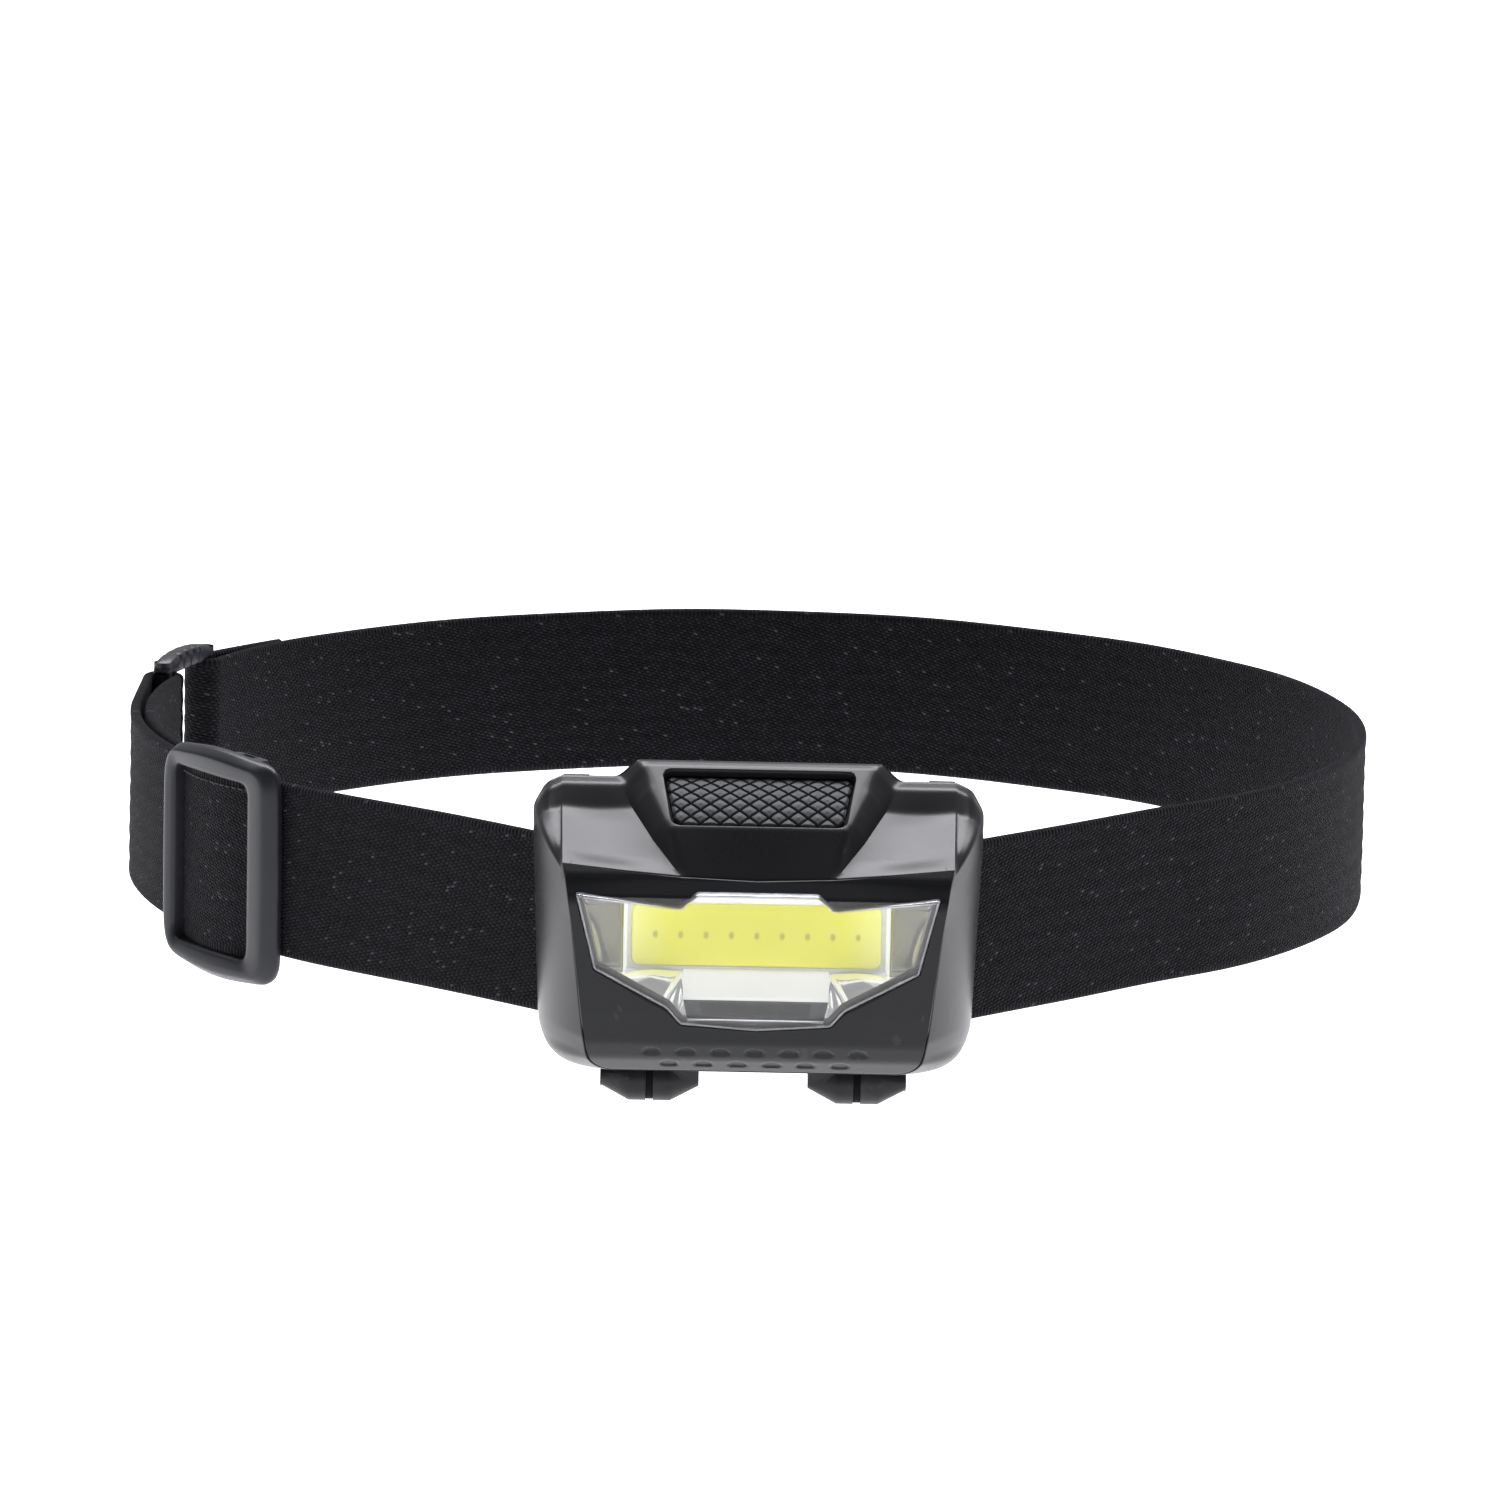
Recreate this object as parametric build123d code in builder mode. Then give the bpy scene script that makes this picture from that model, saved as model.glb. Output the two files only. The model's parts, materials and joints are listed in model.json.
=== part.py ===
from build123d import *
import os
from math import acos, atan2, cos, degrees, hypot, radians, sin

# Headlamp: a tilting lamp head on a forehead bracket, carried by one elastic strap.
# Origin: centre of the head loop, halfway up the strap. +X to the right of someone
# facing the lamp, -Y out of the forehead, +Z up. Millimetres.

# Strap and loop
strap_width = 25.0
strap_thick = 1.5
loop_radius = 88.9          # strap centreline round the head
running_radius = 91.0       # left side, where the running layer lies over the return layer
return_radius = 88.9
strap_behind_plate_y = -98.2
strap_corner_x = 26.6       # where the strap leaves the bracket for the head
strap_corner_radius = 2.2

# Rear ring that the strap doubles back through
ring_front_angle = 166.0
ring_rear_angle = 156.0
ring_bar_radius = 91.15
ring_bar_diameter = 3.0
ring_wrap = 2.25            # bar centre to strap centreline
ring_height = 30.0
tail_end_angle = 143.5

# Slider buckle
slider_angle = 215.3
slider_half_span = 8.9      # degrees of arc from its middle to each end
slider_height = 33.0
slider_inside = 27.4
slider_centre_z = -1.0
slider_inner_r = 92.0
slider_outer_r = 94.6
slider_near_bar = 3.8       # degrees of arc, side bar nearest the lamp
slider_far_bar = 2.0        # degrees of arc, side bar nearest the rear ring
centre_bar_r = (87.0, 88.8)
centre_bar_half_span = 1.3
end_loop_thick = 1.2

# Bracket and tilt hinge
plate_thick = 2.0
plate_front_y = -101.2
plate_half_height = 15.6
bend_x = 21.5
wing_end_x = 28.9
slot_x = (20.6, 25.9)
slot_half_height = 13.1
hinge_y = -105.0
hinge_z = -19.4
foot_x = 14.1
foot_slit = 1.0
foot_half_width = 6.7
knuckle_radius = 3.1
pin_radius = 1.0
pin_clearance = 0.05

# Lamp head
seam_y = 105.0              # distance in front of the loop centre, along -Y
rear_y = 102.6
front_y = 128.2
lamp_bottom = -16.0
shoulder_z = 22.3
crown_z = 24.6
lip = (-125.2, 12.6)
wall = 1.4
block_gap = 0.12
face_tilt = 7.35
bezel_thick = 1.6

# Button and switch
button_slope = 26.4
key_half_length = 5.8
switch_shift = -3.0         # along the slope, from the key's middle towards the front

# Cells and light engine
cell_diameter = 10.5
cell_length = 44.5
cell_y = -109.75
cell_z = (-9.0, 1.6, 12.2)
tray_half_width = 25.4
emitter_z = 3.3
emitter_size = (33.5, 8.5)

button_plane = Plane(
    origin=(0, -113.5, 21.175),
    x_dir=(1, 0, 0),
    z_dir=(0, -sin(radians(button_slope)), cos(radians(button_slope))),
)
switch_plane = Plane(
    origin=button_plane.origin + button_plane.y_dir * switch_shift,
    x_dir=(1, 0, 0),
    z_dir=button_plane.z_dir,
)
face_plane = Plane(
    origin=(0, -127.0, 1.75),
    x_dir=(1, 0, 0),
    z_dir=(0, -cos(radians(face_tilt)), -sin(radians(face_tilt))),
)


def polar(radius, angle):
    """Point on the plan at a radius and an angle in degrees."""
    return (radius * cos(radians(angle)), radius * sin(radians(angle)))


def save(piece, name):
    """Label a finished part and write it as its own STEP file."""
    piece.part.label = name
    export_step(piece.part, f"parts/{name}.step")


os.makedirs("parts", exist_ok=True)


# ---------------------------------------------------------------- strap
def corner_tangent(radius):
    """Plan angle, below the X axis, where the strap's straight run meets the loop."""
    reach = hypot(strap_corner_x, strap_behind_plate_y)
    corner = degrees(atan2(-strap_behind_plate_y, strap_corner_x))
    return corner - degrees(acos(radius / reach))


def wrap_leave_angle(radius):
    """Degrees of arc between a ring bar and where the outer layer meets the loop."""
    return degrees(acos((radius - ring_wrap) / ring_bar_radius))


right_tangent = corner_tangent(loop_radius)
left_tangent = corner_tangent(running_radius)
front_leave = wrap_leave_angle(running_radius)
rear_leave = wrap_leave_angle(loop_radius + strap_thick)
front_bar = polar(ring_bar_radius, ring_front_angle)
rear_bar = polar(ring_bar_radius, ring_rear_angle)
strap_base = Plane.XY.offset(-strap_width / 2)

with BuildPart() as head_strap:
    with BuildSketch(strap_base):
        with BuildLine() as strap_line:
            # Tail folded back over the strap and sewn down
            tail_start = polar(running_radius - 0.45, tail_end_angle)
            tail_turn = (
                rear_bar[0] + ring_wrap * cos(radians(ring_rear_angle - rear_leave)),
                rear_bar[1] + ring_wrap * sin(radians(ring_rear_angle - rear_leave)),
            )
            Line(tail_start, tail_turn)
            CenterArc(rear_bar, ring_wrap, ring_rear_angle - rear_leave, 180 + rear_leave)
            # Round the back and the right side of the head
            CenterArc((0, 0), loop_radius, ring_rear_angle, -(ring_rear_angle + right_tangent))
            # Behind the bracket plate
            FilletPolyline(
                polar(loop_radius, -right_tangent),
                (strap_corner_x, strap_behind_plate_y),
                (-strap_corner_x, strap_behind_plate_y),
                polar(running_radius, 180 + left_tangent),
                radius=strap_corner_radius,
            )
            # Running layer through the slider and out to the ring
            running_start = 180 + left_tangent
            running_end = ring_front_angle + front_leave
            CenterArc((0, 0), running_radius, running_start, running_end - running_start)
            ring_turn = (
                front_bar[0] + ring_wrap * cos(radians(running_end)),
                front_bar[1] + ring_wrap * sin(radians(running_end)),
            )
            Line(polar(running_radius, running_end), ring_turn)
            CenterArc(front_bar, ring_wrap, running_end, -(180 + front_leave))
        trace(line_width=strap_thick)
    extrude(amount=strap_width)
save(head_strap, "head_strap")

end_loop_angle = slider_angle - centre_bar_half_span - 5.0

with BuildPart() as strap_return:
    with BuildSketch(strap_base):
        with BuildLine():
            CenterArc((0, 0), return_radius, ring_front_angle + 0.2, end_loop_angle - ring_front_angle - 0.4)
        trace(line_width=strap_thick)
    extrude(amount=strap_width)
save(strap_return, "strap_return")


def sector(inner, outer, start, end):
    """Plan shape between two radii and two angles."""
    with BuildSketch() as shape:
        with BuildLine():
            CenterArc((0, 0), outer, start, end - start)
            Line(polar(outer, end), polar(inner, end))
            CenterArc((0, 0), inner, end, start - end)
            Line(polar(inner, start), polar(outer, start))
        make_face()
    return shape.sketch


# Rear ring: two round bars between rounded end rails
with BuildPart() as rear_ring:
    with Locations(front_bar, rear_bar):
        Cylinder(ring_bar_diameter / 2, ring_height - 2)
    for side in (1, -1):
        rail_low = side * ring_height / 2 if side < 0 else ring_height / 2 - 2.2
        with BuildSketch(Plane.XY.offset(rail_low)):
            with BuildLine():
                ring_span = ring_front_angle - ring_rear_angle + 1
                CenterArc((0, 0), ring_bar_radius, ring_rear_angle - 0.5, ring_span)
            trace(line_width=ring_bar_diameter)
            with Locations(front_bar, rear_bar):
                Circle(ring_bar_diameter / 2)
        extrude(amount=2.2)
save(rear_ring, "rear_ring")

# Stitches: a box of thread across the tail, just proud of the strap
with BuildPart() as tail_stitches:
    for row in range(-4, 5):
        stitch_plane = Plane(
            origin=(*polar(92.05, 147.0), row * 2.4),
            x_dir=(-sin(radians(147.0)), cos(radians(147.0)), 0),
            z_dir=(cos(radians(147.0)), sin(radians(147.0)), 0),
        )
        with BuildSketch(stitch_plane):
            SlotOverall(2.0, 0.5)
        extrude(amount=0.35)
save(tail_stitches, "tail_stitches")

# ---------------------------------------------------------------- slider
slider_low = slider_centre_z - slider_height / 2
slider_rail = (slider_height - slider_inside) / 2
slider_start = slider_angle - slider_half_span
slider_end = slider_angle + slider_half_span
slider_window_start = slider_start + slider_far_bar
slider_window_end = slider_end - slider_near_bar
rail_half_span = 2.6
rail_ends = (slider_angle - rail_half_span, slider_angle + rail_half_span)
centre_bar_ends = (slider_angle - centre_bar_half_span, slider_angle + centre_bar_half_span)

with BuildPart() as slider_buckle:
    # Curved outer frame whose two side bars cross over the strap
    with BuildSketch(Plane.XY.offset(slider_low)):
        add(sector(slider_inner_r, slider_outer_r, slider_start, slider_end))
    extrude(amount=slider_height)
    with BuildSketch(Plane.XY.offset(slider_low + slider_rail)):
        add(sector(slider_inner_r - 1, slider_outer_r + 1, slider_window_start, slider_window_end))
    extrude(amount=slider_inside, mode=Mode.SUBTRACT)
    outer_corners = slider_buckle.edges().filter_by(
        lambda e: e.length < 4 and abs(e.center().Z - slider_centre_z) > slider_height / 2 - 0.1
    )
    fillet(outer_corners, radius=4.0)
    # Rails reach in at top and bottom to the sunk centre bar
    for rail_low in (slider_low + 0.4, slider_low + slider_height - slider_rail):
        with BuildSketch(Plane.XY.offset(rail_low)):
            add(sector(centre_bar_r[0], slider_inner_r + 0.6, *rail_ends))
        extrude(amount=slider_rail - 0.4)
    with BuildSketch(Plane.XY.offset(slider_low + 0.4)):
        add(sector(*centre_bar_r, *centre_bar_ends))
    extrude(amount=slider_height - 0.8)
save(slider_buckle, "slider_buckle")

with BuildPart() as strap_end_loop:
    loop_half = centre_bar_half_span + degrees(end_loop_thick / centre_bar_r[0])
    with BuildSketch(strap_base):
        loop_radii = (centre_bar_r[0] - end_loop_thick, centre_bar_r[1] + end_loop_thick)
        add(sector(*loop_radii, slider_angle - loop_half, slider_angle + loop_half))
        # Tail that carries on into the return layer
        tail_radii = (return_radius - strap_thick / 2, return_radius + strap_thick / 2)
        add(sector(*tail_radii, end_loop_angle, slider_angle - loop_half + 0.3))
        add(sector(*centre_bar_r, *centre_bar_ends), mode=Mode.SUBTRACT)
    extrude(amount=strap_width)
save(strap_end_loop, "strap_end_loop")

# ---------------------------------------------------------------- bracket
with BuildPart() as holder_bracket:
    plate_y = plate_front_y + plate_thick / 2
    wing_depth = wing_end_x - bend_x
    with BuildSketch(Plane.XY.offset(-plate_half_height)):
        with BuildLine():
            FilletPolyline(
                (-wing_end_x, plate_y + wing_depth),
                (-bend_x, plate_y),
                (bend_x, plate_y),
                (wing_end_x, plate_y + wing_depth),
                radius=3.0,
            )
        trace(line_width=plate_thick)
    extrude(amount=2 * plate_half_height)
    wing_corners = holder_bracket.edges().filter_by(
        lambda e: e.length < 3 and abs(e.center().X) > wing_end_x - 1
    )
    fillet(wing_corners.filter_by(lambda e: abs(e.center().Z) > plate_half_height - 1), radius=4.0)
    # A slot for the strap near each end
    with BuildSketch(Plane.XZ.offset(-plate_front_y + 5)):
        for side in (-1, 1):
            with Locations((side * (slot_x[0] + slot_x[1]) / 2, 0)):
                RectangleRounded(slot_x[1] - slot_x[0], 2 * slot_half_height, 1.2)
    extrude(amount=-20, mode=Mode.SUBTRACT)
    # Arms run down and forward to the two outer hinge knuckles
    for side in (-1, 1):
        inner_face = side * (foot_x + foot_slit / 2)
        arm_width = foot_half_width - foot_slit / 2
        with BuildSketch(Plane.YZ.offset(inner_face)):
            with BuildLine():
                Polyline(
                    (hinge_y, hinge_z + knuckle_radius),
                    (plate_front_y - 0.2, hinge_z + knuckle_radius),
                    (plate_front_y, -plate_half_height + 1.5),
                    (plate_front_y + plate_thick, -plate_half_height + 1.5),
                    (plate_front_y + plate_thick, hinge_z + 0.6),
                    (hinge_y, hinge_z - 1.2),
                    close=True,
                )
            make_face()
        extrude(amount=side * arm_width)
        with BuildSketch(Plane.YZ.offset(inner_face)):
            with Locations((hinge_y, hinge_z)):
                Circle(knuckle_radius)
        extrude(amount=side * 2.3)
        with BuildSketch(Plane.YZ.offset(inner_face + side * 2.3)):
            with Locations((hinge_y, hinge_z)):
                Circle(knuckle_radius)
        extrude(amount=side * (arm_width - 2.3), taper=28)
        with BuildSketch(Plane.YZ.offset(inner_face)):
            with Locations((hinge_y, hinge_z)):
                Circle(pin_radius)
        extrude(amount=side * (arm_width - 1.6), mode=Mode.SUBTRACT)
save(holder_bracket, "holder_bracket")

with BuildPart() as hinge_pins:
    pin_start = foot_x - foot_half_width + 1.6
    for side in (-1, 1):
        with BuildSketch(Plane.YZ.offset(side * pin_start)):
            with Locations((hinge_y, hinge_z)):
                Circle(pin_radius)
        extrude(amount=side * 2 * (foot_half_width - 1.6))
save(hinge_pins, "hinge_pins")


# ---------------------------------------------------------------- lamp head
def head_outline(inset):
    """Front view of the head, pulled in by a wall thickness."""
    with BuildSketch() as outline:
        with BuildLine():
            right_side = Polyline(
                (0, shoulder_z), (26.6, shoulder_z), (30.3, 18.4), (29.0, lamp_bottom), (0, lamp_bottom)
            )
            mirror(right_side, about=Plane.YZ)
        make_face()
        fillet(outline.vertices().filter_by(lambda v: v.Y < lamp_bottom + 1), radius=7.0)
        if inset:
            offset(amount=-inset, kind=Kind.INTERSECTION, mode=Mode.REPLACE)
    return outline.sketch


def head_form(inset):
    """Solid form of the hood, rails and chin, pulled in by a wall thickness."""
    with BuildPart() as form:
        with BuildSketch(Plane.XZ.offset(seam_y)):
            add(head_outline(inset))
        extrude(amount=front_y - seam_y)
        with BuildSketch(Plane.YZ) as side_view:
            with BuildLine():
                Polyline(
                    (-seam_y + 2, lamp_bottom),
                    (-seam_y + 2, shoulder_z),
                    (-107.5, shoulder_z - 0.5),
                    (-110.5, 19.4),
                    lip,
                    (lip[0], -9.0),
                    (-122.8, -13.0),
                    (-118.4, -15.8),
                    (-116.5, lamp_bottom),
                    close=True,
                )
            make_face()
            if inset:
                offset(amount=-inset, kind=Kind.INTERSECTION, mode=Mode.REPLACE)
        extrude(amount=40, both=True, mode=Mode.INTERSECT)
        # Side rails slope back from the face to the silhouette
        for side in (-1, 1):
            outward = Vector(side * 0.955, -0.282, -0.0905)
            rail_point = Vector(side * 26.2, lip[0], 11.0) - outward * inset
            split(bisect_by=Plane(origin=rail_point, z_dir=outward), keep=Keep.BOTTOM)
    return form.part


def crown_form(inset):
    """Raised middle of the hood that carries the button, tapering towards the lip."""
    with BuildPart() as crown:
        with BuildSketch(Plane.XY.offset(10)):
            with BuildLine():
                Polyline(
                    (-19.0 + inset, -seam_y),
                    (-12.4 + inset, lip[0]),
                    (12.4 - inset, lip[0]),
                    (19.0 - inset, -seam_y),
                    close=True,
                )
            make_face()
        extrude(amount=20)
        with BuildSketch(Plane.YZ) as crown_side:
            with BuildLine():
                Polyline(
                    (-seam_y + 2, 13.0),
                    (-seam_y + 2, crown_z),
                    (-106.0, crown_z),
                    (-107.3, 24.25),
                    (-119.5, 18.2),
                    lip,
                    (lip[0], 11.0),
                    (-112.0, 13.0),
                    close=True,
                )
            make_face()
            if inset:
                offset(amount=-inset, kind=Kind.INTERSECTION, mode=Mode.REPLACE)
        extrude(amount=40, both=True, mode=Mode.INTERSECT)
    return crown.part


def block_outline(gap):
    """Front view of the forward block that the face panel fills."""
    with BuildSketch() as block:
        with BuildLine():
            right_side = Polyline(
                (0, 13.6), (25.6, 13.6), (24.9, 6.0), (23.3, -8.0), (22.2, -15.4), (0, -15.4)
            )
            mirror(right_side, about=Plane.YZ)
        make_face()
        fillet(block.vertices().filter_by(lambda v: v.Y < -15), radius=5.5)
        if gap:
            offset(amount=-gap, kind=Kind.INTERSECTION, mode=Mode.REPLACE)
    return block.sketch


def window_outline(grow):
    """Lens opening: spread wings, a raised middle at the top and a keel at the bottom."""
    with BuildSketch() as window:
        with BuildLine():
            right_side = Polyline(
                (0, 9.2), (8.1, 9.2), (10.5, 7.3), (24.4, 9.0), (21.8, -1.8), (12.0, -7.2), (10.1, -9.4)
            )
            keel = ThreePointArc((10.1, -9.4), (0, -10.1), (-10.1, -9.4))
            mirror(right_side, about=Plane.YZ)
        make_face()
        if grow:
            offset(amount=grow, kind=Kind.INTERSECTION, mode=Mode.REPLACE)
    return window.sketch


screw_places = [(side * 21.6, z) for side in (-1, 1) for z in (-3.7, 6.9)]
partition_front = 116.2
boss_length = 3.2

with BuildPart() as front_housing:
    add(head_form(0))
    add(crown_form(0))
    add(head_form(wall), mode=Mode.SUBTRACT)
    add(crown_form(wall), mode=Mode.SUBTRACT)
    # Trim the rear to the seam
    with BuildSketch(Plane.XZ.offset(seam_y)):
        Rectangle(80, 80)
    extrude(amount=-10, mode=Mode.SUBTRACT)
    # Front opening for the face panel
    with BuildSketch(Plane.XZ.offset(117.0)):
        add(block_outline(0))
    extrude(amount=20, mode=Mode.SUBTRACT)
    # Button opening in the crown
    with BuildSketch(button_plane):
        button_hole = Polygon((-13.0, 6.1), (-11.5, -6.1), (11.5, -6.1), (13.0, 6.1), align=None)
        fillet(button_hole.vertices(), radius=1.6)
    extrude(amount=3, both=True, mode=Mode.SUBTRACT)
    # Screw bosses ribbed out to the side walls
    for x, z in screw_places:
        side = 1 if x > 0 else -1
        with BuildSketch(Plane.XZ.offset(partition_front)):
            with Locations((x, z)):
                Circle(1.9)
            with Locations((x + side * 3.0, z)):
                Rectangle(6.0, 1.6)
        extrude(amount=boss_length)
        with BuildSketch(Plane.XZ.offset(partition_front)):
            with Locations((x, z)):
                Circle(0.85)
        extrude(amount=boss_length - 0.6, mode=Mode.SUBTRACT)
save(front_housing, "front_housing")

# Face panel: one thin moulding from the brow down over the window to the chin
with BuildPart() as face_bezel:
    with BuildSketch(Plane.YZ):
        with BuildLine():
            Polyline(
                (-125.35, 12.45),
                (-127.95, 9.7),
                (-126.0, -6.2),
                (-125.0, -9.6),
                (-122.4, -13.0),
                (-118.6, -15.2),
                (-117.9, -13.9),
                (-121.4, -11.9),
                (-123.5, -9.0),
                (-124.4, -6.0),
                (-126.2, 9.1),
                (-124.3, 11.1),
                close=True,
            )
        make_face()
    extrude(amount=40, both=True)
    with BuildSketch(Plane.XZ.offset(110)):
        add(block_outline(block_gap))
    extrude(amount=25, mode=Mode.INTERSECT)
    with BuildSketch(face_plane):
        add(window_outline(0))
    extrude(amount=6, both=True, mode=Mode.SUBTRACT)
    # Two rows of dimples on the chin
    chin_plane = Plane(origin=(0, -123.6, -11.4), x_dir=(1, 0, 0), z_dir=(0, -0.79, -0.61))
    with BuildSketch(chin_plane.offset(-0.35)):
        with GridLocations(4.6, 1, 7, 1):
            Circle(1.1)
        with Locations((0, -2.6)):
            with GridLocations(4.6, 1, 6, 1):
                Circle(1.1)
    extrude(amount=2, mode=Mode.SUBTRACT)
save(face_bezel, "face_bezel")

with BuildPart() as lens:
    with BuildSketch(face_plane.offset(-bezel_thick)):
        add(window_outline(-0.1))
    extrude(amount=bezel_thick + 0.3)
save(lens, "lens")

with BuildPart() as lens_gasket:
    with BuildSketch(face_plane.offset(-bezel_thick - 0.5)):
        add(window_outline(0))
        add(window_outline(-0.8), mode=Mode.SUBTRACT)
    extrude(amount=0.45)
save(lens_gasket, "lens_gasket")


# ---------------------------------------------------------------- light engine
def reflector_cone(grow):
    """Six-sided funnel from the emitter out to the lens."""
    with BuildPart() as funnel:
        with BuildSketch(Plane.XZ.offset(118.6)):
            emitter_end = Polygon(
                (-17.9, 8.7), (-17.9, 0), (-10, -2.1), (10, -2.1), (17.9, 0), (17.9, 8.7), align=None
            )
            if grow:
                offset(emitter_end, amount=grow, kind=Kind.INTERSECTION, mode=Mode.REPLACE)
        with BuildSketch(face_plane.offset(-bezel_thick - 0.7)):
            lens_end = Polygon(
                (-23.3, 6.9), (-21.0, -2.0), (-9.6, -8.3), (9.6, -8.3), (21.0, -2.0), (23.3, 6.9), align=None
            )
            if grow:
                offset(lens_end, amount=grow, kind=Kind.INTERSECTION, mode=Mode.REPLACE)
        loft(ruled=True)
    return funnel.part


with BuildPart() as reflector:
    add(reflector_cone(0.7))
    add(reflector_cone(0), mode=Mode.SUBTRACT)
save(reflector, "reflector")

board_plane = Plane.XZ.offset(116.9)
with BuildPart() as led_board:
    with BuildSketch(board_plane):
        with Locations((0, emitter_z)):
            RectangleRounded(39.0, 12.0, 1.0)
    extrude(amount=1.0)
save(led_board, "led_board")

with BuildPart() as led_phosphor:
    with BuildSketch(board_plane.offset(1.0)):
        with Locations((0, emitter_z)):
            RectangleRounded(*emitter_size, 1.2)
    extrude(amount=0.5)
save(led_phosphor, "led_phosphor")

with BuildPart() as led_dam:
    with BuildSketch(board_plane.offset(1.0)):
        with Locations((0, emitter_z)):
            RectangleRounded(emitter_size[0] + 1.8, emitter_size[1] + 1.8, 1.8)
            RectangleRounded(*emitter_size, 1.2, mode=Mode.SUBTRACT)
    extrude(amount=0.6)
save(led_dam, "led_dam")


# ---------------------------------------------------------------- button and switch
def key_shape(rear_half, front_half, half_length, radius):
    """Tapered key outline with round corners, wider at the rear."""
    with BuildSketch() as key:
        outline = Polygon(
            (-rear_half, half_length),
            (-front_half, -half_length),
            (front_half, -half_length),
            (rear_half, half_length),
            align=None,
        )
        fillet(outline.vertices(), radius=radius)
    return key.sketch


with BuildPart() as button_cap:
    with BuildSketch(button_plane.offset(-1.6)):
        add(key_shape(12.7, 11.2, key_half_length, 1.4))
    extrude(amount=1.45)
    with BuildSketch(button_plane.offset(-2.1)):
        add(key_shape(13.4, 12.1, key_half_length + 0.6, 1.4))
    extrude(amount=0.55)
    with BuildSketch(switch_plane.offset(-2.4)):
        Circle(1.6)
    extrude(amount=0.4)
    # Crossed grooves leave a diamond grip
    with BuildSketch(button_plane.offset(-0.5)):
        for lean in (-42, 42):
            with Locations(Rotation(0, 0, lean)):
                with GridLocations(1.8, 1, 15, 1):
                    Rectangle(0.3, 40)
    extrude(amount=1, mode=Mode.SUBTRACT)
save(button_cap, "button_cap")

with BuildPart() as switch_plunger:
    with BuildSketch(switch_plane.offset(-3.2)):
        Circle(1.2)
    extrude(amount=0.8)
save(switch_plunger, "switch_plunger")

with BuildPart() as switch_body:
    with BuildSketch(switch_plane.offset(-3.75)):
        RectangleRounded(5.0, 5.0, 0.4)
    extrude(amount=0.85)
    with BuildSketch(switch_plane.offset(-3.7)):
        Circle(1.25)
    extrude(amount=2, mode=Mode.SUBTRACT)
save(switch_body, "switch_body")

with BuildPart() as control_board:
    with BuildSketch(switch_plane.offset(-4.35)):
        RectangleRounded(24.0, 8.0, 0.6)
    extrude(amount=0.6)
save(control_board, "control_board")

with BuildPart() as driver_parts:
    with BuildSketch(switch_plane.offset(-3.75)):
        with Locations((-6.5, 0), (7.0, 1.0)):
            Rectangle(3.0, 3.8)
        with Locations((-9.6, 1.0), (-9.6, -1.2), (10.0, 0)):
            Rectangle(1.6, 0.8)
    extrude(amount=0.8)
save(driver_parts, "driver_parts")

# ---------------------------------------------------------------- battery bay
door_half_width = 24.0
door_low = -13.0
door_thick = 1.0
door_front = 103.25
tray_low = -14.4
tray_top = 14.8

# Tray that slides into the front housing: side walls and a front partition
with BuildPart() as tray:
    with BuildSketch(Plane.XZ.offset(seam_y)):
        with Locations((0, (tray_top + tray_low) / 2)):
            Rectangle(2 * tray_half_width + 2, tray_top - tray_low)
    extrude(amount=partition_front - seam_y)
    add(head_form(wall + 0.12), mode=Mode.INTERSECT)

with BuildPart() as rear_housing:
    add(tray.part)
    # Rim behind the seam
    with BuildSketch(Plane.XZ.offset(rear_y)):
        add(head_outline(0.35))
    extrude(amount=seam_y - rear_y)
    # Hollow for the cells, open at the back and along the top
    with BuildSketch(Plane.XZ.offset(rear_y)):
        with Locations((0, tray_low + 20.6)):
            Rectangle(2 * door_half_width - 2, 40)
    extrude(amount=seam_y - rear_y, mode=Mode.SUBTRACT)
    with BuildSketch(Plane.XZ.offset(104.6)):
        with Locations((0, tray_low + 20)):
            Rectangle(2 * tray_half_width, 40)
    extrude(amount=115.2 - 104.6, mode=Mode.SUBTRACT)
    # Grooves that the door slides up in
    with BuildSketch(Plane.XZ.offset(door_front - 0.1)):
        with Locations((0, door_low - 0.15 + 25)):
            Rectangle(2 * door_half_width + 0.3, 50)
    extrude(amount=door_thick + 0.2, mode=Mode.SUBTRACT)
    # Hinge lugs
    for side in (-1, 1):
        lug_face = side * (foot_x - foot_slit / 2)
        lug_width = foot_half_width - foot_slit / 2
        with BuildSketch(Plane.YZ.offset(lug_face)):
            with BuildLine():
                Polyline(
                    (hinge_y + 2.0, lamp_bottom + 0.6),
                    (hinge_y + 2.2, hinge_z),
                    (hinge_y - 2.2, hinge_z),
                    (hinge_y - 3.0, lamp_bottom - 0.05),
                    (hinge_y, lamp_bottom - 0.05),
                    (hinge_y, lamp_bottom + 0.6),
                    close=True,
                )
            make_face()
        extrude(amount=-side * lug_width)
        with BuildSketch(Plane.YZ.offset(lug_face)):
            with Locations((hinge_y, hinge_z)):
                Circle(knuckle_radius)
        extrude(amount=-side * 2.3)
        with BuildSketch(Plane.YZ.offset(lug_face - side * 2.3)):
            with Locations((hinge_y, hinge_z)):
                Circle(knuckle_radius)
        extrude(amount=-side * (lug_width - 2.3), taper=28)
        with BuildSketch(Plane.YZ.offset(lug_face)):
            with Locations((hinge_y, hinge_z)):
                Circle(pin_radius + pin_clearance)
        extrude(amount=-side * (lug_width - 1.5), mode=Mode.SUBTRACT)
    # Screw holes through the partition
    with BuildSketch(Plane.XZ.offset(114)):
        with Locations(*screw_places):
            Circle(1.15)
    extrude(amount=5, mode=Mode.SUBTRACT)
save(rear_housing, "rear_housing")

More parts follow.
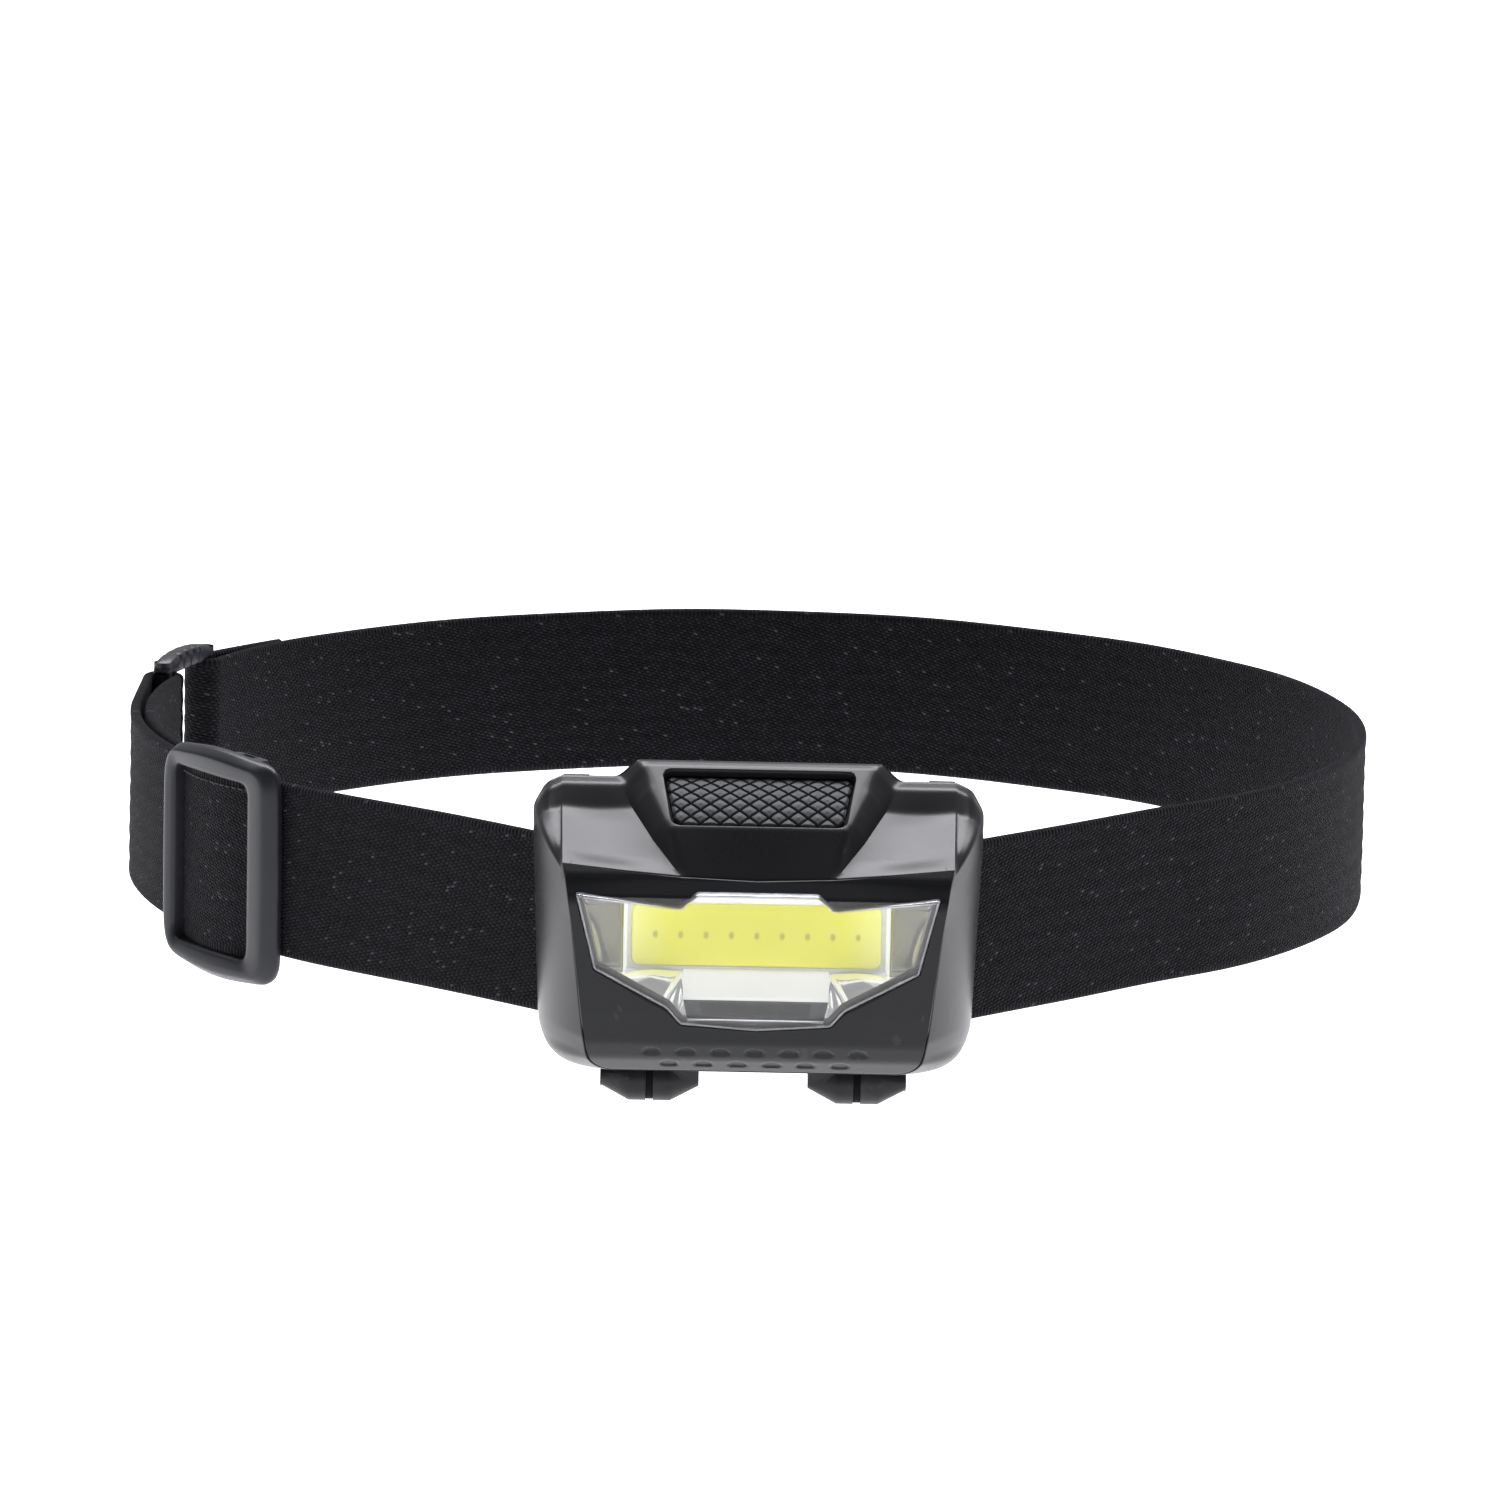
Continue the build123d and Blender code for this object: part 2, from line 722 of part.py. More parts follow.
with BuildPart() as battery_door:
    with BuildSketch(Plane.XZ.offset(door_front)):
        with BuildLine():
            right_side = Polyline(
                (0, 24.2), (8.5, 24.2), (9.0, shoulder_z - 0.4), (door_half_width, shoulder_z - 0.4),
                (door_half_width, door_low), (0, door_low),
            )
            mirror(right_side, about=Plane.YZ)
        make_face()
    extrude(amount=door_thick)
    # Thumb slot in the latch tab and grip ribs under it
    with BuildSketch(Plane.XZ.offset(door_front)):
        with Locations((0, 24.0)):
            Rectangle(7.3, 1.2)
    extrude(amount=0.6, mode=Mode.SUBTRACT)
    with BuildSketch(Plane.XZ.offset(door_front - 0.45)):
        with Locations((0, 16.0)):
            with GridLocations(1, 1.8, 1, 5):
                SlotOverall(14.0, 0.8)
    extrude(amount=0.6)
save(battery_door, "battery_door")

with BuildPart() as battery_cells:
    for index, z in enumerate(cell_z):
        nub_side = 1 if index % 2 == 0 else -1
        with BuildSketch(Plane.YZ.offset(-nub_side * cell_length / 2)):
            with Locations((cell_y, z)):
                Circle(cell_diameter / 2)
        extrude(amount=nub_side * (cell_length - 0.8))
        with BuildSketch(Plane.YZ.offset(nub_side * (cell_length / 2 - 0.8))):
            with Locations((cell_y, z)):
                Circle(1.9)
        extrude(amount=nub_side * 0.8)
save(battery_cells, "battery_cells")

plate_face = tray_half_width - 0.05
with BuildPart() as contact_plates:
    for index, z in enumerate(cell_z):
        nub_side = 1 if index % 2 == 0 else -1
        with BuildSketch(Plane.YZ.offset(nub_side * plate_face)):
            with Locations((cell_y, z)):
                Circle(2.2)
        extrude(amount=-nub_side * (plate_face - cell_length / 2))
    # One tall plate joins two cells, one short plate ends the row, on each side
    for side, tall_z, short_z in ((1, 6.9, cell_z[0]), (-1, -3.7, cell_z[2])):
        with BuildSketch(Plane.YZ.offset(side * plate_face)):
            with Locations((cell_y, tall_z)):
                Rectangle(7.0, 18.4)
            with Locations((cell_y, short_z)):
                Rectangle(7.0, 7.8)
        extrude(amount=-side * 0.35)
save(contact_plates, "contact_plates")

with BuildPart() as contact_springs:
    for index, z in enumerate(cell_z):
        spring_side = -1 if index % 2 == 0 else 1
        with BuildLine() as coil:
            Helix(
                pitch=0.75,
                height=1.9,
                radius=2.6,
                center=(spring_side * (plate_face - 0.65), cell_y, z),
                direction=(-spring_side, 0, 0),
                cone_angle=-14,
            )
        with BuildSketch(Plane(origin=coil.line @ 0, z_dir=coil.line % 0)):
            Circle(0.22)
        sweep(path=coil.line, is_frenet=True)
save(contact_springs, "contact_springs")

with BuildPart() as housing_screws:
    with BuildSketch(Plane.XZ.offset(115.15)):
        with Locations(*screw_places):
            Circle(1.7)
    extrude(amount=-1.1)
    with BuildSketch(Plane.XZ.offset(115.15)):
        with Locations(*screw_places):
            Circle(0.85)
    extrude(amount=3.6)
    with BuildSketch(Plane.XZ.offset(115.15 - 1.1)):
        with Locations(*screw_places):
            Rectangle(2.2, 0.5)
            Rectangle(0.5, 2.2)
    extrude(amount=0.6, mode=Mode.SUBTRACT)
save(housing_screws, "housing_screws")


def lead(points):
    """Short wire with round bends, as a solid of its own."""
    with BuildPart() as wire:
        with BuildLine() as route:
            FilletPolyline(*points, radius=1.0)
        with BuildSketch(Plane(origin=route.line @ 0, z_dir=route.line % 0)):
            Circle(0.4)
        sweep(path=route.line)
    return wire.part


# Two leads from the end contacts up to the board, two from the board down to the emitter
with BuildPart() as battery_leads:
    add(lead([(24.6, -116.8, 8.6), (24.6, -116.8, 12.2), (16.0, -116.8, 13.2), (11.0, -116.8, 13.7)]))
    add(lead([(-24.6, -116.8, 8.6), (-24.6, -116.8, 12.2), (-16.0, -116.8, 13.2), (-11.0, -116.8, 13.7)]))
save(battery_leads, "battery_leads")

with BuildPart() as emitter_leads:
    add(lead([(8.0, -118.3, 9.4), (8.0, -118.3, 11.4), (4.0, -117.4, 12.6), (4.0, -116.9, 14.1)]))
    add(lead([(-8.0, -118.3, 9.4), (-8.0, -118.3, 11.4), (-4.0, -117.4, 12.6), (-4.0, -116.9, 14.1)]))
save(emitter_leads, "emitter_leads")
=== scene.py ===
import json
from math import atan2, cos, degrees, pi, radians, sin, sqrt

import bmesh
import bpy
import numpy as np
from mathutils import Matrix, Vector, noise

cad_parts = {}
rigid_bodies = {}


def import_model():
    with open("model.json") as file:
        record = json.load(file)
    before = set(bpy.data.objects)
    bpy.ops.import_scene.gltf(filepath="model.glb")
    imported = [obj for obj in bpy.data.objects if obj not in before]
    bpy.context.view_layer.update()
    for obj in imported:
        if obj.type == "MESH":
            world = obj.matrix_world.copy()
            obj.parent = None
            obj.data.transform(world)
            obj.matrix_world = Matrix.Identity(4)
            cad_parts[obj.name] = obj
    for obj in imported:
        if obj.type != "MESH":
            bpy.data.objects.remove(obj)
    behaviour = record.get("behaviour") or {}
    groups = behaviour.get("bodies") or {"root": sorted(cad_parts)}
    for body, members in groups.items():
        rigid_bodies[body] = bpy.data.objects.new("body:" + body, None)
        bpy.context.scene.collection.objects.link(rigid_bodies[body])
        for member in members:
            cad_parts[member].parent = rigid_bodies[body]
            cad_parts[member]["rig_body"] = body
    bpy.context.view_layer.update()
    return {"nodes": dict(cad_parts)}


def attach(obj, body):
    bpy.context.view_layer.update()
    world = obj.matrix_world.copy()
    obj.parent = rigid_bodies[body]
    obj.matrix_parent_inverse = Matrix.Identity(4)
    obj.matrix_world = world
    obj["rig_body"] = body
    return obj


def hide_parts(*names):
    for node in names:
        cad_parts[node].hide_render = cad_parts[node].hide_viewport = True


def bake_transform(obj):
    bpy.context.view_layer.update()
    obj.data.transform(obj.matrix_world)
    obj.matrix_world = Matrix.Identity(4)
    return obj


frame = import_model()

# Headlamp: elastic strap loop, forehead bracket and a tilting lamp head.
# Shapes are worked out in millimetres in the frame's own axes, then stored in metres.
nodes = frame["nodes"]
mm = 0.001
print("frame loaded:", len(nodes), "nodes")


# Shader maths: a socket that works out as an expression
class Wire:
    def __init__(self, finish, socket):
        self.finish = finish
        self.socket = socket

    def math(self, operation, *others):
        return self.finish.node("ShaderNodeMath", {"operation": operation}, [self, *others])

    def __add__(self, other):
        return self.math("ADD", other)

    def __radd__(self, other):
        return self.math("ADD", other)

    def __sub__(self, other):
        return self.math("SUBTRACT", other)

    def __rsub__(self, other):
        return self.finish.node("ShaderNodeMath", {"operation": "SUBTRACT"}, [other, self])

    def __mul__(self, other):
        return self.math("MULTIPLY", other)

    def __rmul__(self, other):
        return self.math("MULTIPLY", other)

    def __truediv__(self, other):
        return self.math("DIVIDE", other)

    def __rtruediv__(self, other):
        return self.finish.node("ShaderNodeMath", {"operation": "DIVIDE"}, [other, self])

    def __gt__(self, other):
        return self.math("GREATER_THAN", other)

    def __lt__(self, other):
        return self.math("LESS_THAN", other)

    def __abs__(self):
        return self.math("ABSOLUTE")

    def fraction(self):
        return self.math("FRACT")

    def floor(self):
        return self.math("FLOOR")

    def wave(self):
        return self.math("SINE")


class Finish:
    # One procedural material, built node by node
    def __init__(self, name, viewColour=(0.03, 0.03, 0.035)):
        self.material = bpy.data.materials.new(name)
        self.material.use_nodes = True
        self.material.diffuse_color = (*viewColour, 1)
        self.tree = self.material.node_tree
        self.shader = self.tree.nodes["Principled BSDF"]

    def node(self, kind, settings=None, values=None, output=0):
        made = self.tree.nodes.new(kind)
        for key, value in (settings or {}).items():
            if key == "stops":
                self.setStops(made.color_ramp, value)
            else:
                setattr(made, key, value)
        pairs = values.items() if isinstance(values, dict) else enumerate(values or [])
        for key, value in pairs:
            self.plug(made.inputs[key], value)
        return Wire(self, made.outputs[output])

    def setStops(self, ramp, stops):
        while len(ramp.elements) < len(stops):
            ramp.elements.new(0.5)
        for element, (place, shade) in zip(ramp.elements, stops):
            element.position = place
            element.color = (shade, shade, shade, 1) if isinstance(shade, float) else (*shade, 1)

    def plug(self, socket, value):
        if isinstance(value, Wire):
            self.tree.links.new(value.socket, socket)
        elif isinstance(value, tuple) and len(value) == 3 and socket.type == "RGBA":
            socket.default_value = (*value, 1)
        else:
            socket.default_value = value

    def place(self):
        return self.node("ShaderNodeTexCoord", output="Object")

    def split(self, vector):
        # The three parts of a vector
        parts = self.node("ShaderNodeSeparateXYZ", {}, [vector]).socket.node
        return [Wire(self, socket) for socket in parts.outputs]

    def grain(self, size, detail=2.0, rough=0.5):
        # Noise with spots of a size in millimetres
        values = {"Vector": self.place(), "Scale": 1 / (size * mm), "Detail": detail, "Roughness": rough}
        return self.node("ShaderNodeTexNoise", {"noise_dimensions": "3D"}, values, "Fac")

    def chance(self, value):
        # A random number for each whole value
        return self.node("ShaderNodeTexWhiteNoise", {"noise_dimensions": "1D"}, {"W": value}, "Value")

    def blend(self, factor, first, second):
        # Sockets 0, 6, 7 and output 2 are the colour ones of a Mix node
        return self.node("ShaderNodeMix", {"data_type": "RGBA"}, {0: factor, 6: first, 7: second}, 2)

    def ramp(self, value, *stops):
        return self.node("ShaderNodeValToRGB", {"stops": stops}, [value])

    def span(self, value, low, high, outLow, outHigh):
        return self.node("ShaderNodeMapRange", {"clamp": True}, [value, low, high, outLow, outHigh])

    def wear(self, low=0.52, high=0.62):
        # 1 along worn outer edges
        pointiness = self.node("ShaderNodeNewGeometry", output="Pointiness")
        return self.span(pointiness, low, high, 0.0, 1.0)

    def bump(self, height, strength, distance):
        values = {"Height": height, "Strength": strength, "Distance": distance * mm}
        return self.node("ShaderNodeBump", {}, values)

    def surface(self, **values):
        for key, value in values.items():
            self.plug(self.shader.inputs[key.replace("_", " ")], value)
        return self.material


# Millimetres in the weave: one float, one row, where the ribbed edge starts, one rib
weaveLook = {"float": 0.86, "row": 0.47, "edge": 11.4, "rib": 0.32, "lean": 0.28, "strayShare": 0.982}


def makeElastic(name, tint, light):
    # Woven elastic: short floats in staggered rows, a plain ribbed edge, a few stray fibres
    look = weaveLook
    finish = Finish(name, tint)
    cloth = finish.node("ShaderNodeAttribute", {"attribute_name": "cloth"}, output="Vector")
    along, across = finish.split(cloth)[:2]
    drift = finish.grain(5.0, 2.0) * 0.5
    row = (across + along * look["lean"]) / look["row"] + drift
    rowIndex = row.floor()
    inRow = row.fraction()
    run = along / look["float"] + rowIndex * 0.37 + finish.chance(rowIndex) * 0.16
    inRun = run.fraction()
    runIndex = run.floor()
    cell = finish.chance(rowIndex * 57.0 + runIndex)
    pile = (inRow * pi).wave() * (inRun * pi).wave()
    rib = ((along * (pi / look["rib"])).wave() + 1.0) * 0.5
    onEdge = abs(across) > look["edge"]
    weave = pile * (1.0 - onEdge) + rib * onEdge * 0.8
    fuzz = finish.grain(0.12, 3.0, 0.7)
    patch = finish.grain(9.0, 2.0)
    fleck = (cell > look["strayShare"]) * pile
    shade = weave * 0.62 + cell * 0.3 + fuzz * 0.22 + patch * 0.16 - 0.22
    base = finish.ramp(shade, (0.0, tuple(c * 0.25 for c in tint)), (0.5, tint), (1.0, light))
    colour = finish.blend(fleck * 0.5, base, (0.13, 0.13, 0.145))
    height = weave * 0.8 + fuzz * 0.3
    return finish.surface(
        Base_Color=colour,
        Roughness=0.86,
        Specular_IOR_Level=0.14,
        Sheen_Weight=0.05,
        Sheen_Roughness=0.45,
        Sheen_Tint=(0.75, 0.76, 0.85, 1),
        Normal=finish.bump(height, 1.0, 0.30),
    )


def makeMoulded(name, dark, light, gloss, texture=0.16, depth=0.02, shine=0.35,
                wearTint=(0.08, 0.08, 0.085), wearAmount=0.3):
    # Injection moulded plastic: fine spark-erosion texture, drifting gloss, paler worn edges
    finish = Finish(name, dark)
    cloudy = finish.grain(14.0, 3.0)
    fine = finish.grain(texture, 2.0, 0.6)
    speck = finish.grain(texture * 5, 3.0, 0.7)
    scuff = finish.span(finish.grain(2.2, 5.0, 0.75), 0.62, 0.78, 0.0, 1.0)
    worn = finish.wear() * finish.span(finish.grain(1.3, 4.0), 0.35, 0.7, 0.3, 1.0)
    base = finish.blend(cloudy, dark, light)
    base = finish.blend(worn * wearAmount, base, wearTint)
    rough = cloudy * 0.08 + speck * 0.07 + scuff * 0.05 + (gloss - 0.09)
    return finish.surface(
        Base_Color=base,
        Roughness=rough,
        Specular_IOR_Level=shine,
        Normal=finish.bump(fine * 0.8 + speck * 0.4, 0.5, depth),
    )


def makeRubber():
    # Soft key: matte, slightly dusty in the grooves
    finish = Finish("keyRubber")
    fine = finish.grain(0.2, 3.0, 0.7)
    dust = finish.span(finish.grain(0.7, 4.0, 0.8), 0.6, 0.8, 0.0, 1.0)
    base = finish.blend(dust * 0.35, (0.022, 0.024, 0.029), (0.070, 0.073, 0.080))
    base = finish.blend(finish.wear(0.5, 0.6) * 0.3, base, (0.085, 0.09, 0.1))
    return finish.surface(
        Base_Color=base,
        Roughness=fine * 0.15 + 0.5,
        Specular_IOR_Level=0.45,
        Normal=finish.bump(fine, 0.4, 0.03),
    )


def makeMetal(name, colour, gloss, brushed=0.0, paintedGlow=0.0):
    # Metal; the glow amount is a painted glow, emission on parts that are no lamp
    finish = Finish(name, colour)
    cloudy = finish.grain(3.0, 4.0, 0.6)
    fine = finish.grain(0.25, 2.0)
    base = finish.blend(cloudy, colour, tuple(c * 0.82 for c in colour))
    return finish.surface(
        Base_Color=base,
        Metallic=1.0,
        Roughness=cloudy * 0.1 + fine * brushed + gloss,
        Emission_Color=base,
        Emission_Strength=paintedGlow,
        Normal=finish.bump(fine * 0.6 + cloudy * 0.4, 0.25, 0.02 + brushed * 0.05),
    )


def makePainted(name, colour, second, gloss, size=1.2, depth=0.02, amount=0.5, paintedGlow=0.0):
    # Boards, labels and small parts: two close tones in soft mottling; the glow amount, where set, is a
    # painted glow
    finish = Finish(name, colour)
    cloudy = finish.span(finish.grain(size, 4.0, 0.6), 0.35, 0.7, 0.0, amount)
    fine = finish.grain(0.15, 2.0)
    base = finish.blend(cloudy, colour, second)
    return finish.surface(
        Base_Color=base,
        Roughness=fine * 0.12 + gloss,
        Emission_Color=base,
        Emission_Strength=paintedGlow,
        Normal=finish.bump(fine, 0.35, depth),
    )


# The row of dies under the yellow coating, in millimetres
dieRow = {"pitch": 3.4, "height": 3.3, "halfRow": 15.0, "paleFrom": 12.0, "paleTo": 16.6}


def makePhosphor():
    # Yellow silicone over a row of dies that show as faint darker points
    d = dieRow
    finish = Finish("phosphorYellow", (0.8, 0.8, 0.1))
    spot = finish.split(finish.place())
    across, up = spot[0], spot[2]
    near = (across / (d["pitch"] * mm) + 0.5).fraction() - 0.5
    level = (up - d["height"] * mm) / (d["pitch"] * mm)
    inside = abs(across) < d["halfRow"] * mm
    die = (near * near + level * level * 0.5).math("SQRT")
    dot = finish.span(die, 0.06, 0.14, 1.0, 0.0) * inside
    mottle = finish.grain(2.5, 3.0)
    end = finish.span(abs(across), d["paleFrom"] * mm, d["paleTo"] * mm, 0.0, 1.0)
    base = finish.blend(mottle, (0.76, 0.75, 0.022), (0.80, 0.80, 0.05))
    base = finish.blend(end * 0.6, base, (0.88, 0.89, 0.36))
    base = finish.blend(dot * 0.75, base, (0.40, 0.38, 0.03))
    fine = finish.grain(0.3, 2.0)
    return finish.surface(
        Base_Color=base,
        Roughness=fine * 0.1 + 0.35,
        Emission_Color=base,
        Emission_Strength=0.22,
        Normal=finish.bump(fine, 0.2, 0.02),
    )


def makeLensFinish():
    # Clear cover: mirror-like only where light grazes or strikes it, otherwise see-through
    finish = Finish("clearCover", (0.9, 0.95, 1.0))
    glance = finish.node("ShaderNodeFresnel", {}, {"IOR": 1.5})
    haze = finish.span(finish.grain(2.5, 4.0, 0.7), 0.55, 0.8, 0.0, 0.012)
    return finish.surface(
        Base_Color=(1.0, 1.0, 1.0),
        Metallic=1.0,
        Roughness=0.04,
        Alpha=glance * 0.9 + haze,
    )


def makeLensEdge():
    finish = Finish("coverEdge", (0.8, 0.82, 0.85))
    cloudy = finish.grain(1.5, 3.0)
    return finish.surface(
        Base_Color=finish.blend(cloudy, (0.30, 0.31, 0.33), (0.52, 0.53, 0.56)),
        Metallic=0.8,
        Roughness=cloudy * 0.15 + 0.16,
        Alpha=cloudy * 0.3 + 0.35,
        Normal=finish.bump(cloudy, 0.3, 0.05),
    )


finishes = {
    "elasticBlack": makeElastic("elasticBlack", (0.0078, 0.0075, 0.0105), (0.034, 0.034, 0.043)),
    "thread": makePainted("threadBlack", (0.028, 0.028, 0.034), (0.06, 0.06, 0.07), 0.6, 0.3, 0.05),
    "hoodSatin": makeMoulded("hoodSatin", (0.011, 0.011, 0.0125), (0.0145, 0.0145, 0.0165), 0.31, shine=0.27),
    "faceMatte": makeMoulded(
        "faceMatte", (0.0105, 0.011, 0.0135), (0.0145, 0.015, 0.018), 0.40, 0.14, 0.015, 0.24,
    ),
    "buckle": makeMoulded(
        "bucklePlastic", (0.014, 0.015, 0.019), (0.020, 0.021, 0.027), 0.36, 0.22, 0.03, 0.34,
    ),
    "shell": makeMoulded("shellBlack", (0.010, 0.010, 0.0115), (0.013, 0.013, 0.015), 0.42, 0.25, 0.03, 0.25),
    "doorGrey": makeMoulded(
        "doorGrey", (0.050, 0.052, 0.058), (0.064, 0.066, 0.072), 0.42, 0.2, 0.02, 0.35, (0.2, 0.2, 0.21),
    ),
    "rubber": makeRubber(),
    # Chrome plating with a painted glow
    "chrome": makeMetal("chromePlatePaintedGlow", (0.90, 0.905, 0.92), 0.07, paintedGlow=0.28),
    # Reflector walls: white with a painted glow, a painted reflection of the bright studio in the chrome
    "brightWall": makePainted(
        "reflectorPaintedReflection", (0.80, 0.81, 0.83), (0.9, 0.9, 0.92), 0.25, 3.0, 0.01, paintedGlow=0.5,
    ),
    # Painted shade: dark metal on the chrome step of the reflector
    "shadowWall": makeMetal("reflectorStepPaintedShade", (0.075, 0.085, 0.11), 0.18),
    # End walls: chrome painted darker grey as painted shade, with a faint painted glow
    "endWallPaintedShade": makeMetal("reflectorEndPaintedShade", (0.46, 0.455, 0.42), 0.09, paintedGlow=0.10),
    "steel": makeMetal("pinSteel", (0.55, 0.55, 0.56), 0.28, 0.15),
    "nickel": makeMetal("contactNickel", (0.62, 0.60, 0.55), 0.22, 0.1),
    "boardWhite": makePainted("boardWhite", (0.78, 0.78, 0.75), (0.66, 0.66, 0.62), 0.35),
    "boardGreen": makePainted("boardGreen", (0.02, 0.11, 0.045), (0.05, 0.19, 0.08), 0.3, 0.8),
    "dam": makePainted("damWhite", (0.82, 0.83, 0.80), (0.74, 0.76, 0.70), 0.4),
    "washer": makeMoulded(
        "washerBlack", (0.004, 0.004, 0.0045), (0.006, 0.006, 0.0065), 0.6, shine=0.05, wearAmount=0.0,
    ),
    "seal": makePainted("sealGrey", (0.11, 0.11, 0.12), (0.16, 0.16, 0.17), 0.6),
    "cellWrap": makePainted("cellWrap", (0.09, 0.17, 0.13), (0.05, 0.11, 0.08), 0.28, 4.0),
    "chip": makePainted("chipBlack", (0.02, 0.02, 0.022), (0.035, 0.035, 0.04), 0.4),
    "wireRed": makePainted("leadRed", (0.28, 0.02, 0.02), (0.2, 0.015, 0.015), 0.4),
    "phosphor": makePhosphor(),
    "lens": makeLensFinish(),
    "lensEdge": makeLensEdge(),
}
print("finishes made:", len(finishes))


# Mesh tools
def smoothStep(t):
    t = np.clip(t, 0, 1)
    return t * t * (3 - 2 * t)


def gridFaces(rows, columns, closeRows=False, closeColumns=False, start=0):
    faces = []
    for r in range(rows if closeRows else rows - 1):
        for c in range(columns if closeColumns else columns - 1):
            here, below = start + r * columns, start + (r + 1) % rows * columns
            beside = (c + 1) % columns
            faces.append((here + c, here + beside, below + beside, below + c))
    return faces


def tubeFaces(rows, columns, start=0):
    # Rows that close round on themselves, with a flat face over each end
    last = start + (rows - 1) * columns
    ends = [tuple(range(start, start + columns)), tuple(range(last + columns - 1, last - 1, -1))]
    return gridFaces(rows, columns, closeColumns=True, start=start) + ends


def toPiece(name, points, faces, finishNames, body, slotName=None, sharp=32,
            cloth=None, outward=True, finishOf=None):
    # points in mm, faces as tuples of their numbers
    mesh = bpy.data.meshes.new(name)
    mesh.from_pydata([tuple(float(x) * mm for x in p) for p in points], [], faces)
    if cloth is not None:
        made = mesh.attributes.new("cloth", "FLOAT_VECTOR", "POINT")
        made.data.foreach_set("vector", np.asarray(cloth, np.float32).ravel())
    if finishOf is not None:
        mesh.polygons.foreach_set("material_index", finishOf)
    if outward:
        work = bmesh.new()
        work.from_mesh(mesh)
        bmesh.ops.recalc_face_normals(work, faces=work.faces)
        work.to_mesh(mesh)
        work.free()
    return finishPiece(name, mesh, finishNames, body, sharp)


def shadeSmooth(mesh, sharp):
    # Smooth, with hard edges past an angle in degrees
    mesh.polygons.foreach_set("use_smooth", [True] * len(mesh.polygons))
    mesh.set_sharp_from_angle(angle=radians(sharp))


def finishPiece(name, mesh, finishNames, body, sharp):
    for f in [finishNames] if isinstance(finishNames, str) else finishNames:
        mesh.materials.append(finishes[f])
    shadeSmooth(mesh, sharp)
    piece = bpy.data.objects.new(name, mesh)
    bpy.context.scene.collection.objects.link(piece)
    if body:
        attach(piece, body)
    return piece


def bake(piece):
    # Makes the modifiers' result the piece's own mesh
    result = bpy.data.meshes.new_from_object(piece.evaluated_get(bpy.context.evaluated_depsgraph_get()))
    piece.modifiers.clear()
    old = piece.data
    piece.data = result
    bpy.data.meshes.remove(old)
    result.name = piece.name


def thicken(piece, thickness, offset):
    wall = piece.modifiers.new("wall", "SOLIDIFY")
    wall.thickness = thickness * mm
    wall.offset = offset
    wall.use_even_offset = False
    bake(piece)


def softened(node, name, finishName, slotName, width, segments=2):
    # The CAD node's own shape with its corners rounded over
    work = bmesh.new()
    work.from_mesh(nodes[node].data)
    bmesh.ops.remove_doubles(work, verts=work.verts, dist=2e-6)
    bmesh.ops.dissolve_limit(
        work, angle_limit=radians(0.6), verts=work.verts, edges=work.edges, use_dissolve_boundaries=False
    )
    bmesh.ops.recalc_face_normals(work, faces=work.faces)
    mesh = bpy.data.meshes.new(name)
    work.to_mesh(mesh)
    work.free()
    piece = bpy.data.objects.new(name, mesh)
    bpy.context.scene.collection.objects.link(piece)
    edge = piece.modifiers.new("roundOver", "BEVEL")
    edge.width = width * mm
    edge.segments = segments
    edge.limit_method = "ANGLE"
    edge.angle_limit = radians(28)
    edge.use_clamp_overlap = True
    bake(piece)
    mesh = piece.data
    if "custom_normal" in mesh.attributes:
        mesh.attributes.remove(mesh.attributes["custom_normal"])
    mesh.materials.clear()
    bpy.data.objects.remove(piece)
    made = finishPiece(name, mesh, finishName, nodes[node]["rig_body"], 40)
    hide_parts(node)
    return made


def keepNode(node, finishName):
    piece = nodes[node]
    piece.data.materials.clear()
    piece.data.materials.append(finishes[finishName])


def arc(centre, radius, start, end, stepMm=0.6):
    count = max(4, int(abs(radians(end - start)) * radius / stepMm) + 2)
    turn = np.radians(np.linspace(start, end, count))
    return np.stack([centre[0] + radius * np.cos(turn), centre[1] + radius * np.sin(turn)], 1)


def polar(radius, angle):
    return np.array([radius * cos(radians(angle)), radius * sin(radians(angle))])


def rounded(points, radii, closed=True, count=7):
    # Polyline with each corner replaced by a round one of the given radius
    points = [np.array(p, float) for p in points]
    radii = [radii] * len(points) if isinstance(radii, (int, float)) else radii
    made = []
    for i, corner in enumerate(points):
        if not closed and i in (0, len(points) - 1):
            made.append(corner)
            continue
        before, after = points[i - 1] - corner, points[(i + 1) % len(points)] - corner
        lengthB, lengthA = np.linalg.norm(before), np.linalg.norm(after)
        before, after = before / lengthB, after / lengthA
        half = np.arccos(np.clip(before @ after, -1, 1)) / 2
        reach = min(radii[i] / np.tan(half), 0.49 * lengthB, 0.49 * lengthA)
        if reach < 1e-4:
            made.append(corner)
            continue
        a, b = corner + before * reach, corner + after * reach
        for t in np.linspace(0, 1, count):
            made.append((1 - t) ** 2 * a + 2 * t * (1 - t) * corner + t * t * b)
    return np.array(made)


def runOf(line):
    # Length along a line up to each of its points
    return np.concatenate([[0], np.cumsum(np.linalg.norm(np.diff(line, axis=0), axis=1))])


def pickAt(line, places):
    # Points of a line at given lengths along it
    run = runOf(line)
    return np.stack([np.interp(places, run, line[:, k]) for k in range(line.shape[1])], 1)


def evenly(points, count):
    # The same line with points at equal spacing
    points = np.asarray(points, float)
    return pickAt(points, np.linspace(0, runOf(points)[-1], count))


def betweenMarks(marks, counts, last=True):
    # Even steps from mark to mark, as many in each gap as asked
    steps = [np.linspace(a, b, n, endpoint=False) for a, b, n in zip(marks[:-1], marks[1:], counts)]
    return np.concatenate(steps + [[marks[-1]]] * last)


